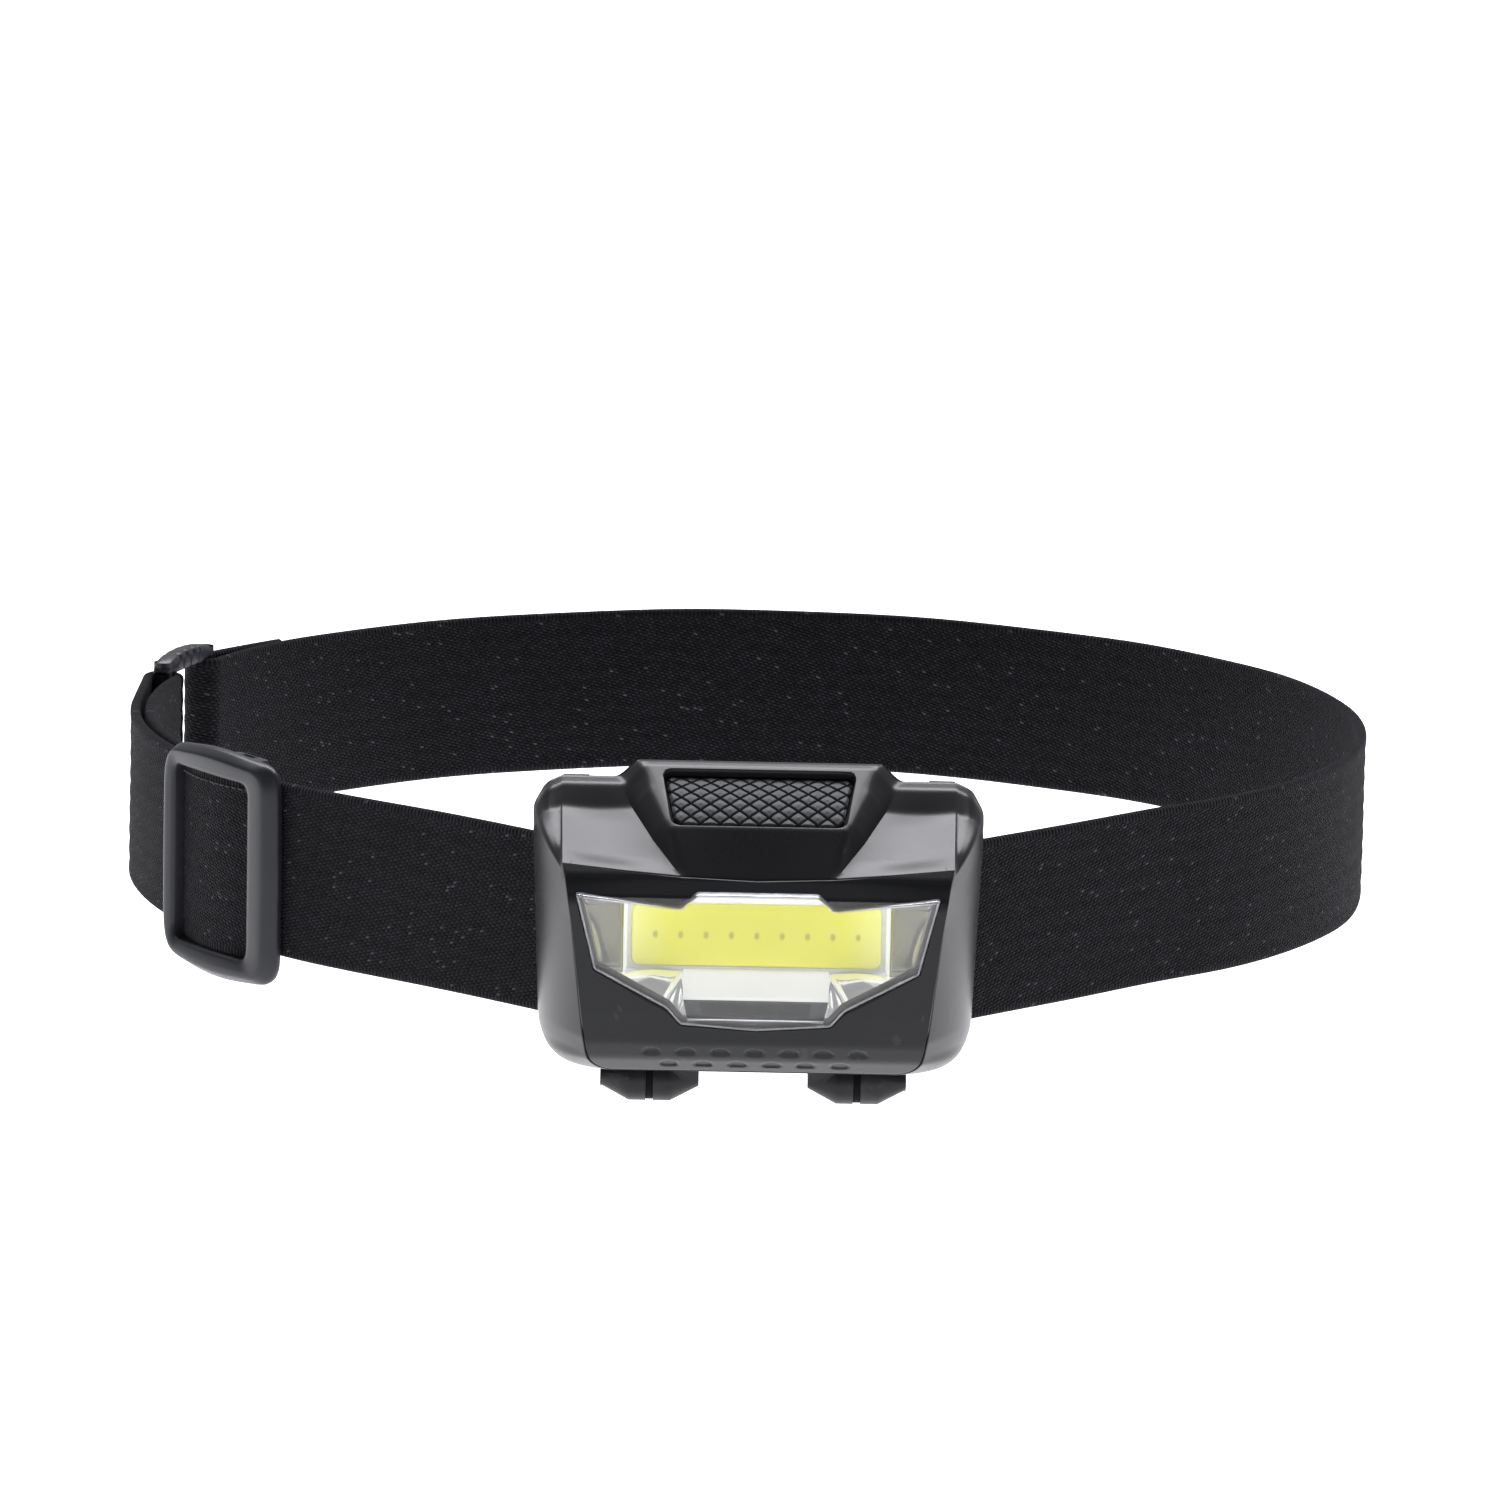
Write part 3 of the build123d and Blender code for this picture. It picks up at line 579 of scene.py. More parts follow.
# Strap: radii and widths in millimetres, places round the loop in degrees
strap = {
    "width": 25.0, "thick": 1.5, "loop": 88.9, "running": 91.0,
    "behindPlate": -98.2, "cornerX": 26.6, "cornerRadius": 3.52,
    "barRadius": 91.15, "frontBar": 166.0, "rearBar": 156.0, "wrap": 2.25, "tailEnd": 143.5,
    "returnFrom": 166.4, "returnTo": 208.6, "returnWidth": 24.8, "blendFrom": 168, "blendTo": 206,
    "endThick": 1.15, "endFrom": 209.05,
    "endRoute": [(88.95, 212.6), (89.4, 213.6), (89.4, 217.0), (86.4, 217.1), (86.4, 213.5), (87.5, 212.3),
                 (87.65, 210.5)],
    "tackAngles": (146.6, 147.4, 148.2), "tackRadius": 91.35,
}


def strapSection(width, thick):
    # Closed cross-section: (across, outward), thinner at the bound edges
    half, skin = width / 2, thick / 2
    across = np.concatenate([np.linspace(-1, -0.9, 7), np.linspace(-0.87, 0.87, 30), np.linspace(0.9, 1, 7)])
    across *= half
    edge = np.clip((np.abs(across) - (half - 0.7)) / 0.7, 0, 1)
    rib = 0.93 + 0.07 * np.cos((np.abs(across) - half + 1.1) * 2.2)
    height = skin * np.sqrt(np.clip(1 - edge**2.2, 0.0, 1)) * rib
    upper = np.stack([across, height], 1)
    lower = np.stack([across[::-1], -height[::-1]], 1)
    return np.concatenate([upper, lower[1:-1]])


def sweepStrap(name, line, body, width=strap["width"], thick=strap["thick"], stepMm=0.8, ripple=0.12,
               startAt=0.0, drop=0.0):
    # line is a plan centreline; the strap stands upright on it
    total = runOf(line)[-1]
    path = evenly(line, int(total / stepMm) + 2)
    ahead = np.gradient(path, axis=0)
    ahead /= np.linalg.norm(ahead, axis=1)[:, None]
    side = np.stack([ahead[:, 1], -ahead[:, 0]], 1)
    section = strapSection(width, thick)
    points, cloth = [], []
    for i, (p, s) in enumerate(zip(path, side)):
        run = i * total / (len(path) - 1) + startAt
        lift = 0.10 * sin(run / 17.0) + 0.05 * sin(run / 6.1 + 1)
        for k, (across, out) in enumerate(section):
            z = across + lift * abs(across) / 12.5
            sway = ripple * noise.noise(Vector((run * 0.055, across * 0.09, 3.0)))
            xy = p + s * (out + sway)
            points.append((xy[0], xy[1], z + drop))
            cloth.append((run, across, 0))
    faces = tubeFaces(len(path), len(section))
    return toPiece(name, points, faces, "elasticBlack", body, "strap_elastic", 60, cloth)


def strapLine():
    # From the sewn end round the ring's rear bar, round the head, behind the plate and to the ring again
    s = strap
    reach = sqrt(s["cornerX"] ** 2 + s["behindPlate"] ** 2)
    corner = degrees(atan2(-s["behindPlate"], s["cornerX"]))
    rightTangent = corner - degrees(np.arccos(s["loop"] / reach))
    leftTangent = corner - degrees(np.arccos(s["running"] / reach))
    frontLeave = degrees(np.arccos((s["running"] - s["wrap"]) / s["barRadius"]))
    rearLeave = degrees(np.arccos((s["loop"] + s["thick"] - s["wrap"]) / s["barRadius"]))
    front, rear = polar(s["barRadius"], s["frontBar"]), polar(s["barRadius"], s["rearBar"])
    behind = rounded(
        [polar(s["loop"], -rightTangent), (s["cornerX"], s["behindPlate"]),
         (-s["cornerX"], s["behindPlate"]), polar(s["running"], 180 + leftTangent)],
        s["cornerRadius"], closed=False,
    )
    return np.concatenate([
        [polar(s["running"] - 0.45, s["tailEnd"])],
        arc(rear, s["wrap"], s["rearBar"] - rearLeave, s["rearBar"] + 180, 0.3),
        arc((0, 0), s["loop"], s["rearBar"], -rightTangent)[1:],
        behind[1:-1],
        arc((0, 0), s["running"], 180 + leftTangent, s["frontBar"] + frontLeave),
        arc(front, s["wrap"], s["frontBar"] + frontLeave, s["frontBar"] - 180, 0.3),
    ])


headStrap = sweepStrap("headStrap", strapLine(), "strap_frame")
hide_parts("head_strap")

returnLine = arc((0, 0), strap["loop"], strap["returnFrom"], strap["returnTo"])
strapReturn = sweepStrap("strapReturn", returnLine, None, width=strap["returnWidth"], ripple=0.0)
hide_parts("strap_return")
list(polar(strap["loop"], strap["blendFrom"]) * mm)
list(polar(strap["loop"], strap["blendTo"]) * mm)
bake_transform(strapReturn)

endLine = np.concatenate([
    arc((0, 0), strap["loop"], strap["endFrom"], strap["endRoute"][0][1] - 0.1),
    rounded([polar(*place) for place in strap["endRoute"]], 0.9, closed=False)[1:],
])
endLoop = sweepStrap(
    "strapEndLoop", endLine, "slider", strap["returnWidth"], strap["endThick"], stepMm=0.35, ripple=0.0,
)
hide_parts("strap_end_loop")
print("strap swept")


def stitchRow(name, places, length, body, radius=0.24):
    # Raised thread stitches: (centre, along direction, outward direction) each
    points, faces = [], []
    for centre, along, out in places:
        centre, along, out = Vector(centre), Vector(along).normalized(), Vector(out).normalized()
        across = along.cross(out)
        start = len(points)
        for i in range(9):
            t = -1 + i / 4
            rise = sqrt(max(0.0, 1 - t * t)) * 0.9 + 0.02
            for k in range(8):
                turn = k * pi / 4
                fat = radius * (rise * 0.75 + 0.1)
                p = centre + along * (t * length / 2) + out * (rise * 0.22 + sin(turn) * fat)
                points.append(p + across * (cos(turn) * fat))
        faces += tubeFaces(9, 8, start)
    return toPiece(name, points, faces, "thread", body, "thread", 60)


def stitchAt(radius, angle, z, upright=False):
    a = radians(angle)
    out = (cos(a), sin(a), 0)
    return ((radius * cos(a), radius * sin(a), z), (0, 0, 1) if upright else (-sin(a), cos(a), 0), out)


tackR, (tackFrom, tackMiddle, tackTo) = strap["tackRadius"], strap["tackAngles"]
tailPlaces = [stitchAt(tackR, angle, row * 2.4) for row in range(-4, 5) for angle in (tackFrom, tackTo)]
tailPlaces += [stitchAt(tackR, tackMiddle, row * 1.2, True) for row in range(-8, 9, 2)]
tailStitches = stitchRow("tailStitches", tailPlaces, 1.9, "strap_frame")
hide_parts("tail_stitches")

# Slider buckle: a frame bent to the loop, two rails behind it and a sunk middle bar
buckle = {
    "innerR": 92.0, "outerR": 94.6, "centreZ": -1.0, "middle": 215.3, "reference": 93.3,
    "half": (14.2, 16.5), "corner": 5.2, "window": (-11.3, 8.4, 12.5, -12.7), "windowCorner": 1.9, "bow": 0.9,
    "railR": (87.0, 92.3), "railAngles": (212.7, 217.9), "railHeight": 2.0,
    "barR": (87.0, 88.8), "barAngles": (214.0, 216.6), "barEnds": (-15.3, 14.8),
}


def onArc(along, z, radius):
    a = radians(buckle["middle"]) + along / buckle["reference"]
    return (radius * cos(a), radius * sin(a), z)


def matchedLoop(points, count, first):
    # Closed outline as evenly spaced points, starting nearest to a given direction
    loop = evenly(np.concatenate([points, points[:1]]), count + 1)[:-1]
    angle = np.arctan2(loop[:, 1], loop[:, 0])
    start = int(np.argmin(np.abs(angle - first)))
    return np.roll(loop, -start, axis=0)


def sliderFrame():
    b = buckle
    halfA, halfZ = b["half"]
    low, high, windowTop, windowLow = b["window"]
    bow = b["bow"]
    outer = rounded(
        [(halfA, halfZ - 0.9), (0, halfZ + 0.2), (-halfA, halfZ - 1.3), (-halfA - bow * 0.3, 0),
         (-halfA, -halfZ + 1.3), (0, -halfZ - 0.2), (halfA, -halfZ + 0.9), (halfA + bow * 0.3, 0)],
        [b["corner"] - 1.2, 60, b["corner"], 60, b["corner"] + 1.0, 60, b["corner"] - 1.0, 60],
    )
    corners = [(high, windowTop), (low, windowTop), (low, windowLow), (high, windowLow)]
    inner = rounded(corners, b["windowCorner"])
    count = 176
    outerLoop = matchedLoop(outer, count, 0.0)
    innerLoop = matchedLoop(inner, count, 0.0)
    lowR, highR = b["innerR"], b["outerR"]
    # Share of the way from the window to the outer edge, radius
    profile = [
        (0.0, lowR + 0.1), (0.0, highR - 0.95), (0.03, highR - 0.62), (0.09, highR - 0.42),
        (0.2, highR - 0.3), (0.45, highR - 0.08), (0.62, highR), (0.7, highR - 0.04), (0.78, highR - 0.3),
        (0.92, highR - 1.0),
        (0.98, highR - 1.3), (1.0, highR - 1.75), (0.97, lowR + 0.25), (0.85, lowR), (0.15, lowR),
    ]
    points = []
    for share, radius in profile:
        for i in range(count):
            along, z = innerLoop[i] * (1 - share) + outerLoop[i] * share
            points.append(onArc(along, z + b["centreZ"], radius))
    return points, gridFaces(len(profile), count, True, True)


def polarBlock(radiusPair, anglePair, low, high, ease=0.3):
    # Curved bar between two radii and two angles with eased corners
    (innerR, outerR), (start, end) = radiusPair, anglePair
    count = 10
    points = []
    corners = rounded([(innerR, low), (outerR, low), (outerR, high), (innerR, high)], ease, count=4)
    for share in np.linspace(0, 1, count):
        shrink = 1.0 - (0.08 if share in (0, 1) else 0.0)
        middle = np.array([(innerR + outerR) / 2, (low + high) / 2])
        angle = start + (end - start) * share
        for corner in corners:
            r, z = middle + (corner - middle) * shrink
            points.append((*polar(r, angle), z))
    return points, tubeFaces(count, len(corners))


def merged(*parts):
    points, faces = [], []
    for somePoints, someFaces in parts:
        start = len(points)
        points += list(somePoints)
        faces += [tuple(i + start for i in face) for face in someFaces]
    return points, faces


lowZ, highZ = [buckle["centreZ"] + end for end in buckle["barEnds"]]
railR, railAngles, railHeight = buckle["railR"], buckle["railAngles"], buckle["railHeight"]
sliderBuckle = toPiece(
    "sliderBuckle",
    *merged(
        sliderFrame(),
        polarBlock(railR, railAngles, lowZ, lowZ + railHeight),
        polarBlock(railR, railAngles, highZ - railHeight, highZ),
        polarBlock(buckle["barR"], buckle["barAngles"], lowZ, highZ, 0.5),
    ),
    "buckle", "slider", "buckle_plastic", 42,
)
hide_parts("slider_buckle")

# The strap lifts over the hidden bar and shows as a bulge in the buckle's window
bulge = {
    "from": 207.3, "span": 14.6, "baseR": 90.85, "rise": 1.95, "width": 26.0, "thick": 1.45, "drop": -1.0,
    "seamZ": 10.5, "seamFrom": 209.2, "seamTo": 220.6, "seamStep": 0.8,
}


def bulgeRadius(share):
    return bulge["baseR"] + bulge["rise"] * np.sin(pi * share) ** 0.6


def seamPlace(angle):
    # On the bulge's outer face
    share = min(1, max(0, (angle - bulge["from"]) / bulge["span"]))
    return stitchAt(bulgeRadius(share) + 0.73, angle, bulge["seamZ"])


shares = np.linspace(0, 1, 40)
bulgeAngles = bulge["from"] + bulge["span"] * shares
bulgeLine = np.array([polar(radius, angle) for radius, angle in zip(bulgeRadius(shares), bulgeAngles)])
sweepStrap(
    "strapBulge", bulgeLine, "slider", bulge["width"], bulge["thick"],
    stepMm=0.35, ripple=0.05, startAt=40.0, drop=bulge["drop"],
)
seamAngles = np.arange(bulge["seamFrom"], bulge["seamTo"], bulge["seamStep"])
stitchRow("bulgeStitches", [seamPlace(angle) for angle in seamAngles], 0.95, "slider", 0.2)

# Rear ring: two round bars between an upper and a lower ribbed rail
rearLoop = {
    "bars": (strap["frontBar"], strap["rearBar"]), "radius": strap["barRadius"],
    "barFat": 1.45, "barHalf": 14.2,
    "railFrom": 155.05, "railSpan": 11.9, "railZ": 12.3, "railSteps": 120, "ribs": 7, "ribDepth": 0.26,
}


def ringBar(angle):
    g = rearLoop
    centre = polar(g["radius"], angle)
    points = []
    for z in np.linspace(-g["barHalf"], g["barHalf"], 24):
        for k in range(20):
            turn = k * 2 * pi / 20
            points.append((centre[0] + g["barFat"] * cos(turn), centre[1] + g["barFat"] * sin(turn), z))
    return points, gridFaces(24, 20, closeColumns=True)


def ringRail(side):
    g = rearLoop
    section = rounded([(-1.5, -0.3), (1.5, -0.3), (1.5, 2.8), (-1.5, 2.8)], 1.15, count=6)
    points = []
    for share in np.linspace(0, 1, g["railSteps"]):
        angle = g["railFrom"] + g["railSpan"] * share
        fromMiddle = abs(share - 0.5) * 2
        end = sqrt(max(0.0, 1 - fromMiddle**7))
        onRibs = 0.3 < share < 0.8
        rib = g["ribDepth"] * (0.5 + 0.5 * cos(share * 2 * pi * g["ribs"])) ** 3 * onRibs
        crown = -1.6 * fromMiddle**2
        for u, v in section:
            r = g["radius"] + u * (0.6 + 0.4 * end) - rib * np.sign(u)
            z = g["railZ"] + v * (0.6 + 0.4 * end) + crown * (v > 1.3) * 0.55
            points.append((*polar(r, angle), side * z))
    return points, tubeFaces(g["railSteps"], len(section))


def rearRing():
    return merged(*[ringBar(angle) for angle in rearLoop["bars"]], ringRail(-1), ringRail(1))


ring = toPiece("rearRing", *rearRing(), "buckle", "strap_frame", "satin_black", 40)
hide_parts("rear_ring")
print("buckle and ring made")

# Front housing: crowned hood, side rails and underside in one shell
hood = {
    "seamY": -105.0, "lipY": -125.2, "wall": 1.15, "middle": (0, 0, 3.0),
    "lip": [(0, 12.3), (10.4, 12.65), (18.0, 13.3), (26.1, 14.15)],  # half width, height of the front edge
    "valley": [(-105.0, 22.3), (-107.6, 21.7), (-110.9, 19.1)], "valleyRound": [0, 2.6, 3.8, 0],
    "crown": [(-105.0, 24.6), (-106.0, 24.6), (-107.3, 24.25), (-119.5, 18.2)],
    "crownRound": [0, 0.6, 1.0, 1.4, 0],
    "crease": [(-105.0, 19.6), (-118.0, 14.2), (-125.2, 10.4)],
    "wallWidth": [(-105.0, 3.6), (-111.0, 3.6), (-118.0, 2.5), (-125.2, 1.6)],
    "facetEnd": 26.4, "facetHollow": 0.35, "crispFrom": -107.0, "crispOver": 5.0, "crispPower": 2.2,
    "rows": 76, "topSteps": (26, 16, 26), "topHalf": (26.6, 26.1),
    "rear": [(26.6, 22.3), (28.8, 21.3), (30.5, 18.2), (29.1, -16.0), (0, -16.0)],
    "rearRound": [0, 3.0, 3.5, 7.0, 0], "rearCuts": (5.7, 32.7, -21.5),
    "front": [(26.1, 14.15), (25.6, 11.0), (24.85, 6.0), (23.3, -8.0), (22.2, -15.4), (0, -15.4)],
    "frontRound": [0, 3, 10, 10, 5.5, 0], "frontCuts": (1.8, 23.3, -16.8),
    "sideSteps": (16, 46, 26, 34), "blendOver": 24.0,
    "railStart": -108.0, "railPower": 1.75, "lowPower": 1.2, "lowFrom": -12, "lowOver": 3,
    "floor": [(-16.0, -117.6), (-15.4, -118.6), (-13.0, -122.7), (-9.5, -125.2)],  # height, opening's depth
}


def lipZ(x):
    # Front edge of the hood: lowest in the middle, rising to the corners
    return np.interp(abs(x), *zip(*hood["lip"]))


def along(marks, y):
    # Value at a depth from (depth, value) marks
    return float(np.interp(-y, [-m[0] for m in marks], [m[1] for m in marks]))


def profileZ(points, radii, y, lip):
    # Height along a rounded side profile that ends at the lip
    line = rounded([*points, (hood["lipY"], lip)], radii, closed=False, count=9)
    return np.interp(-y, -line[:, 0], line[:, 1])


def hoodZ(x, y):
    h = hood
    lip = float(lipZ(x))
    valley = profileZ(h["valley"], h["valleyRound"], y, lip)
    crown = profileZ(h["crown"], h["crownRound"], y, lip)
    crease, width = along(h["crease"], y), along(h["wallWidth"], y)
    t = float(np.clip((crease - abs(x)) / width, 0, 1))
    # A soft S at the rear, a crisp valley line in front
    sharpness = smoothStep((h["crispFrom"] - y) / h["crispOver"])
    mask = smoothStep(t) * (1 - sharpness) + (1 - (1 - t) ** h["crispPower"]) * sharpness
    outside = float(np.clip((abs(x) - crease) / (h["facetEnd"] - crease), 0, 1))
    fade = smoothStep((h["railStart"] - y) / 6.0) * smoothStep((y - h["lipY"]) / 4.0)
    return float(valley + (crown - valley) * mask - h["facetHollow"] * sin(pi * outside) * fade)


def openingY(z):
    # Depth of the front opening's edge at a height
    return float(np.interp(z, *zip(*hood["floor"])))


def frontEdge():
    return rounded(hood["front"], hood["frontRound"], closed=False, count=16)


def markedLine(line, cuts, counts):
    # A line cut at three lengths, the last one measured from its end, with even points in each part
    total = runOf(line)[-1]
    return pickAt(line, betweenMarks([0, cuts[0], cuts[1], total + cuts[2], total], counts))


def topColumns():
    # Half of the hood's top as columns that run from the seam to the lip
    h = hood
    steps = [part + np.linspace(0, 1, n)[:-1] for part, n in enumerate(h["topSteps"])]
    columns = []
    for u in np.concatenate([*steps, [3.0]]):
        column = []
        for s in np.linspace(0, 1, h["rows"]):
            y = h["seamY"] + (h["lipY"] - h["seamY"]) * s
            crease, width = along(h["crease"], y), along(h["wallWidth"], y)
            outer = h["topHalf"][0] * (1 - s) + h["topHalf"][1] * s
            x = float(np.interp(u, [0, 1, 2, 3], [0, crease - width, crease, outer]))
            column.append((x, y, hoodZ(x, y)))
        columns.append(column)
    return columns


def sideColumns(first):
    # The rest of the half outline: rail and underside, easing out of the top's last column
    h = hood
    rearEdge = rounded(h["rear"], h["rearRound"], closed=False, count=16)
    rear = markedLine(rearEdge, h["rearCuts"], h["sideSteps"])
    front = markedLine(frontEdge(), h["frontCuts"], h["sideSteps"])
    columns = []
    for i in range(1, len(rear)):
        start, end = rear[i], front[i]
        endY = openingY(end[1])
        share = float(smoothStep(np.array(i / h["blendOver"])))
        power = h["railPower"]
        if end[1] <= h["lowFrom"]:
            power += h["lowPower"] * min(1, (h["lowFrom"] - end[1]) / h["lowOver"])
        column = []
        for k, s in enumerate(np.linspace(0, 1, h["rows"])):
            y = h["seamY"] + (endY - h["seamY"]) * s
            t = np.clip((y - h["railStart"]) / (endY - h["railStart"]), 0, 1)
            firstW = (first[0][2] - first[k][2]) / (first[0][2] - first[-1][2])
            w = firstW * (1 - share) + t**power * share
            x, z = start + (end - start) * w
            column.append((x, y, z))
        columns.append(column)
    return columns


def headShell():
    columns = topColumns()
    half = np.array(columns + sideColumns(columns[-1]))  # column, row, xyz
    mirrored = half[::-1][1:-1] * np.array([-1, 1, 1])
    grid = np.concatenate([half, mirrored]).transpose(1, 0, 2)  # row, column, xyz
    first, last = grid[0], grid[-1]
    firstIn, lastIn = [(row - hood["middle"]) * [1, 0, 1] for row in (first, last)]
    firstIn /= np.linalg.norm(firstIn, axis=1)[:, None]
    lastIn /= np.linalg.norm(lastIn, axis=1)[:, None]
    back = (grid[-2] - last) * 0.55
    # Small round-overs at the rear seam and at the front edge
    seam = [first - firstIn * 0.28, first - firstIn * 0.08 + [0, -0.09, 0], first + [0, -0.3, 0]]
    rim = [last + back, last + back * 0.35 - lastIn * 0.01, last - lastIn * 0.07]
    grid = np.array([*seam, *grid[2:-1], *rim])
    return grid.reshape(-1, 3), gridFaces(grid.shape[0], grid.shape[1], closeColumns=True)


# Button: its own axes on the crown's slope, the opening and the rubber key
key = {
    "slope": 26.4, "origin": (0, -113.5, 21.175),
    # Outlines: half width at the rear and in front, half length, corner radius
    "opening": (13.0, 11.5, 6.1, 1.6), "flange": (12.7, 11.3, 5.7, 1.3),
    "rear": 12.7, "front": 11.2, "half": 5.8, "corner": 1.5,
    "pitch": (2.62, 2.75), "groove": 0.15, "depth": 0.42, "dome": 0.16, "edge": 0.35,
    "top": -0.26, "bow": 0.35, "sink": 0.85, "skirt": -1.75, "stemV": -3.0,
    "grid": (120, 250),
}
buttonSlope = radians(key["slope"])
buttonOrigin = np.array(key["origin"])
buttonRight = np.array([1.0, 0, 0])
buttonUp = np.array([0, cos(buttonSlope), sin(buttonSlope)])
buttonOut = np.array([0, -sin(buttonSlope), cos(buttonSlope)])


def onButton(u, v, height):
    return buttonOrigin + buttonRight * u + buttonUp * v + buttonOut * height


def keyOutline(rearHalf, frontHalf, halfLength, radius, grow=0.0):
    return rounded(
        [(-rearHalf - grow, halfLength + grow), (-frontHalf - grow, -halfLength - grow),
         (frontHalf + grow, -halfLength - grow), (rearHalf + grow, halfLength + grow)],
        radius + grow, count=9,
    )


def keyPlug(outline, levels):
    # Solid of one outline at several heights, each grown a little: (height, grow)
    points = []
    for height, grow in levels:
        points += [onButton(u, v, height) for u, v in keyOutline(*outline, grow)]
    return points, tubeFaces(len(levels), len(points) // len(levels))


def openingCutter():
    # The plug's top flares, so the opening gets a rounded rim
    levels = [(-6.0, 0.0), (-0.45, 0.0), (-0.2, 0.06), (-0.05, 0.18), (0.05, 0.34), (0.12, 0.6), (3.0, 1.0)]
    return keyPlug(key["opening"], levels)


def carved(piece, cutter):
    cut = piece.modifiers.new("opening", "BOOLEAN")
    cut.operation = "DIFFERENCE"
    cut.solver = "EXACT"
    cut.object = cutter
    bake(piece)
    bpy.data.objects.remove(cutter)
    shadeSmooth(piece.data, 32)


web = {"depths": (-105.1, -106.0), "half": 20.4, "steps": 60, "foot": 20.9, "gap": 0.55}


def crownCloser():
    # Upright web that closes the crown behind the button
    steps = web["steps"]
    points = []
    for y in web["depths"]:
        for x in np.linspace(-web["half"], web["half"], steps + 1):
            points += [(x, y, web["foot"]), (x, y, hoodZ(x, y) - web["gap"])]
    size = 2 * steps + 2
    faces = []
    for i in range(steps):
        a, b = 2 * i, size + 2 * i
        faces += [(a, a + 2, a + 3, a + 1), (b, b + 1, b + 3, b + 2)]
        faces += [(a, b, b + 2, a + 2), (a + 1, a + 3, b + 3, b + 1)]
    faces += [(0, 1, size + 1, size), (size - 2, 2 * size - 2, 2 * size - 1, size - 1)]
    return points, faces


frontShell = toPiece("frontHousing", *headShell(), "hoodSatin", "lamp_head", "satin_black", 180)
thicken(frontShell, hood["wall"], -1)
carved(frontShell, toPiece("cutter", *openingCutter(), "hoodSatin", None))
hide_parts("front_housing")
toPiece("crownWeb", *crownCloser(), "hoodSatin", "lamp_head", "satin_black", 30)
print("front housing made:", len(frontShell.data.polygons), "faces")

# Face panel: matt front with the window and two rows of grip dimples
panel = {
    "gap": 0.14, "rings": 50, "bridge": (26, 10, 44, 34, 40, 14, 38), "topMarks": (0, 8.6, 11.4, 26.1),
    "side": [(15.0, -125.25), (12.9, -125.3), (12.2, -125.75), (10.2, -127.75), (9.2, -127.97),
             (-6.0, -126.02), (-8.6, -125.35), (-10.2, -124.75), (-12.9, -122.5), (-15.6, -118.3)],
    "sideRound": [0, 0.8, 1.0, 1.6, 3, 6, 3, 4, 5, 0], "lowCuts": (15.5, -15.5, -12.2),
    "window": [(0, 9.2), (8.1, 9.2), (10.5, 7.3), (24.4, 9.0), (21.8, -1.8), (12.0, -7.2), (10.1, -9.4),
               (0, -10.1)],
    "windowRound": [0, 0.9, 0.9, 0.35, 0.7, 1.2, 1.2, 0], "windowZ": 1.75, "windowLean": 0.992,
    "lip": [(0.0, 0.12), (0.03, 0.35), (0.03, 1.7), (-0.9, 1.75), (-0.9, 1.4)],  # inset, drop
    "dimpleRows": [(7, -11.75), (6, -13.85)], "dimplePitch": 4.6, "dimpleRadius": 1.15, "dimpleDepth": 0.42,
}
panelLine = rounded(panel["side"], panel["sideRound"], closed=False, count=12)


def panelY(z):
    return np.interp(-np.asarray(z, float), -panelLine[:, 0], panelLine[:, 1])


def outlineFrom(keys, radii, counts):
    # Open half outline with the given number of points between its corners
    line = rounded(keys, radii, closed=False, count=9)
    run = runOf(line)
    nearest = [int(np.argmin(np.linalg.norm(line - np.array(corner), axis=1))) for corner in keys[1:]]
    return pickAt(line, betweenMarks([0, *run[nearest]], counts))


def windowHalf():
    corners = [(x, panel["windowZ"] + panel["windowLean"] * y) for x, y in panel["window"]]
    return outlineFrom(corners, panel["windowRound"], panel["bridge"])


def shrunkWindow(shrink):
    # The whole window outline moved inwards
    full = mirroredLoop(windowHalf())
    ahead = np.roll(full, -1, axis=0) - np.roll(full, 1, axis=0)
    normal = np.stack([-ahead[:, 1], ahead[:, 0]], 1)
    normal /= np.linalg.norm(normal, axis=1)[:, None]
    toward = np.sign((normal * (np.array([0, 3.0]) - full)).sum(1))
    return full + normal * toward[:, None] * shrink


def mirroredLoop(half):
    return np.concatenate([half, half[::-1][1:-1] * [-1, 1]])


def panelOutline():
    # Outer edge of the panel, as many points as the window's outline
    q = panel
    topX = betweenMarks(q["topMarks"], q["bridge"][:3], last=False)
    edge = frontEdge()
    total = runOf(edge)[-1]
    first, second, third = q["lowCuts"]
    marks = [0, first, total + second, total + third, total]
    low = pickAt(edge, betweenMarks(marks, q["bridge"][3:]))
    return mirroredLoop(np.array([(x, float(lipZ(x))) for x in topX] + list(low)))


def pressDimples(front):
    # Floors stand upright, so each dimple is deep at its upper edge and runs out below
    pitch, radius = panel["dimplePitch"], panel["dimpleRadius"]
    for count, z in panel["dimpleRows"]:
        for k in range(count):
            x = (k - (count - 1) / 2) * pitch
            reachX = (front[:, 0] - x) / radius
            reachZ = (front[:, 2] - z) / (radius * 0.6)
            inside = smoothStep((1.06 - np.sqrt(reachX**2 + reachZ**2)) / 0.16)
            depthTo = np.maximum(0, float(panelY(z - radius * 0.5)) - front[:, 1])
            front[:, 1] += inside * np.minimum(depthTo * 0.85, panel["dimpleDepth"])


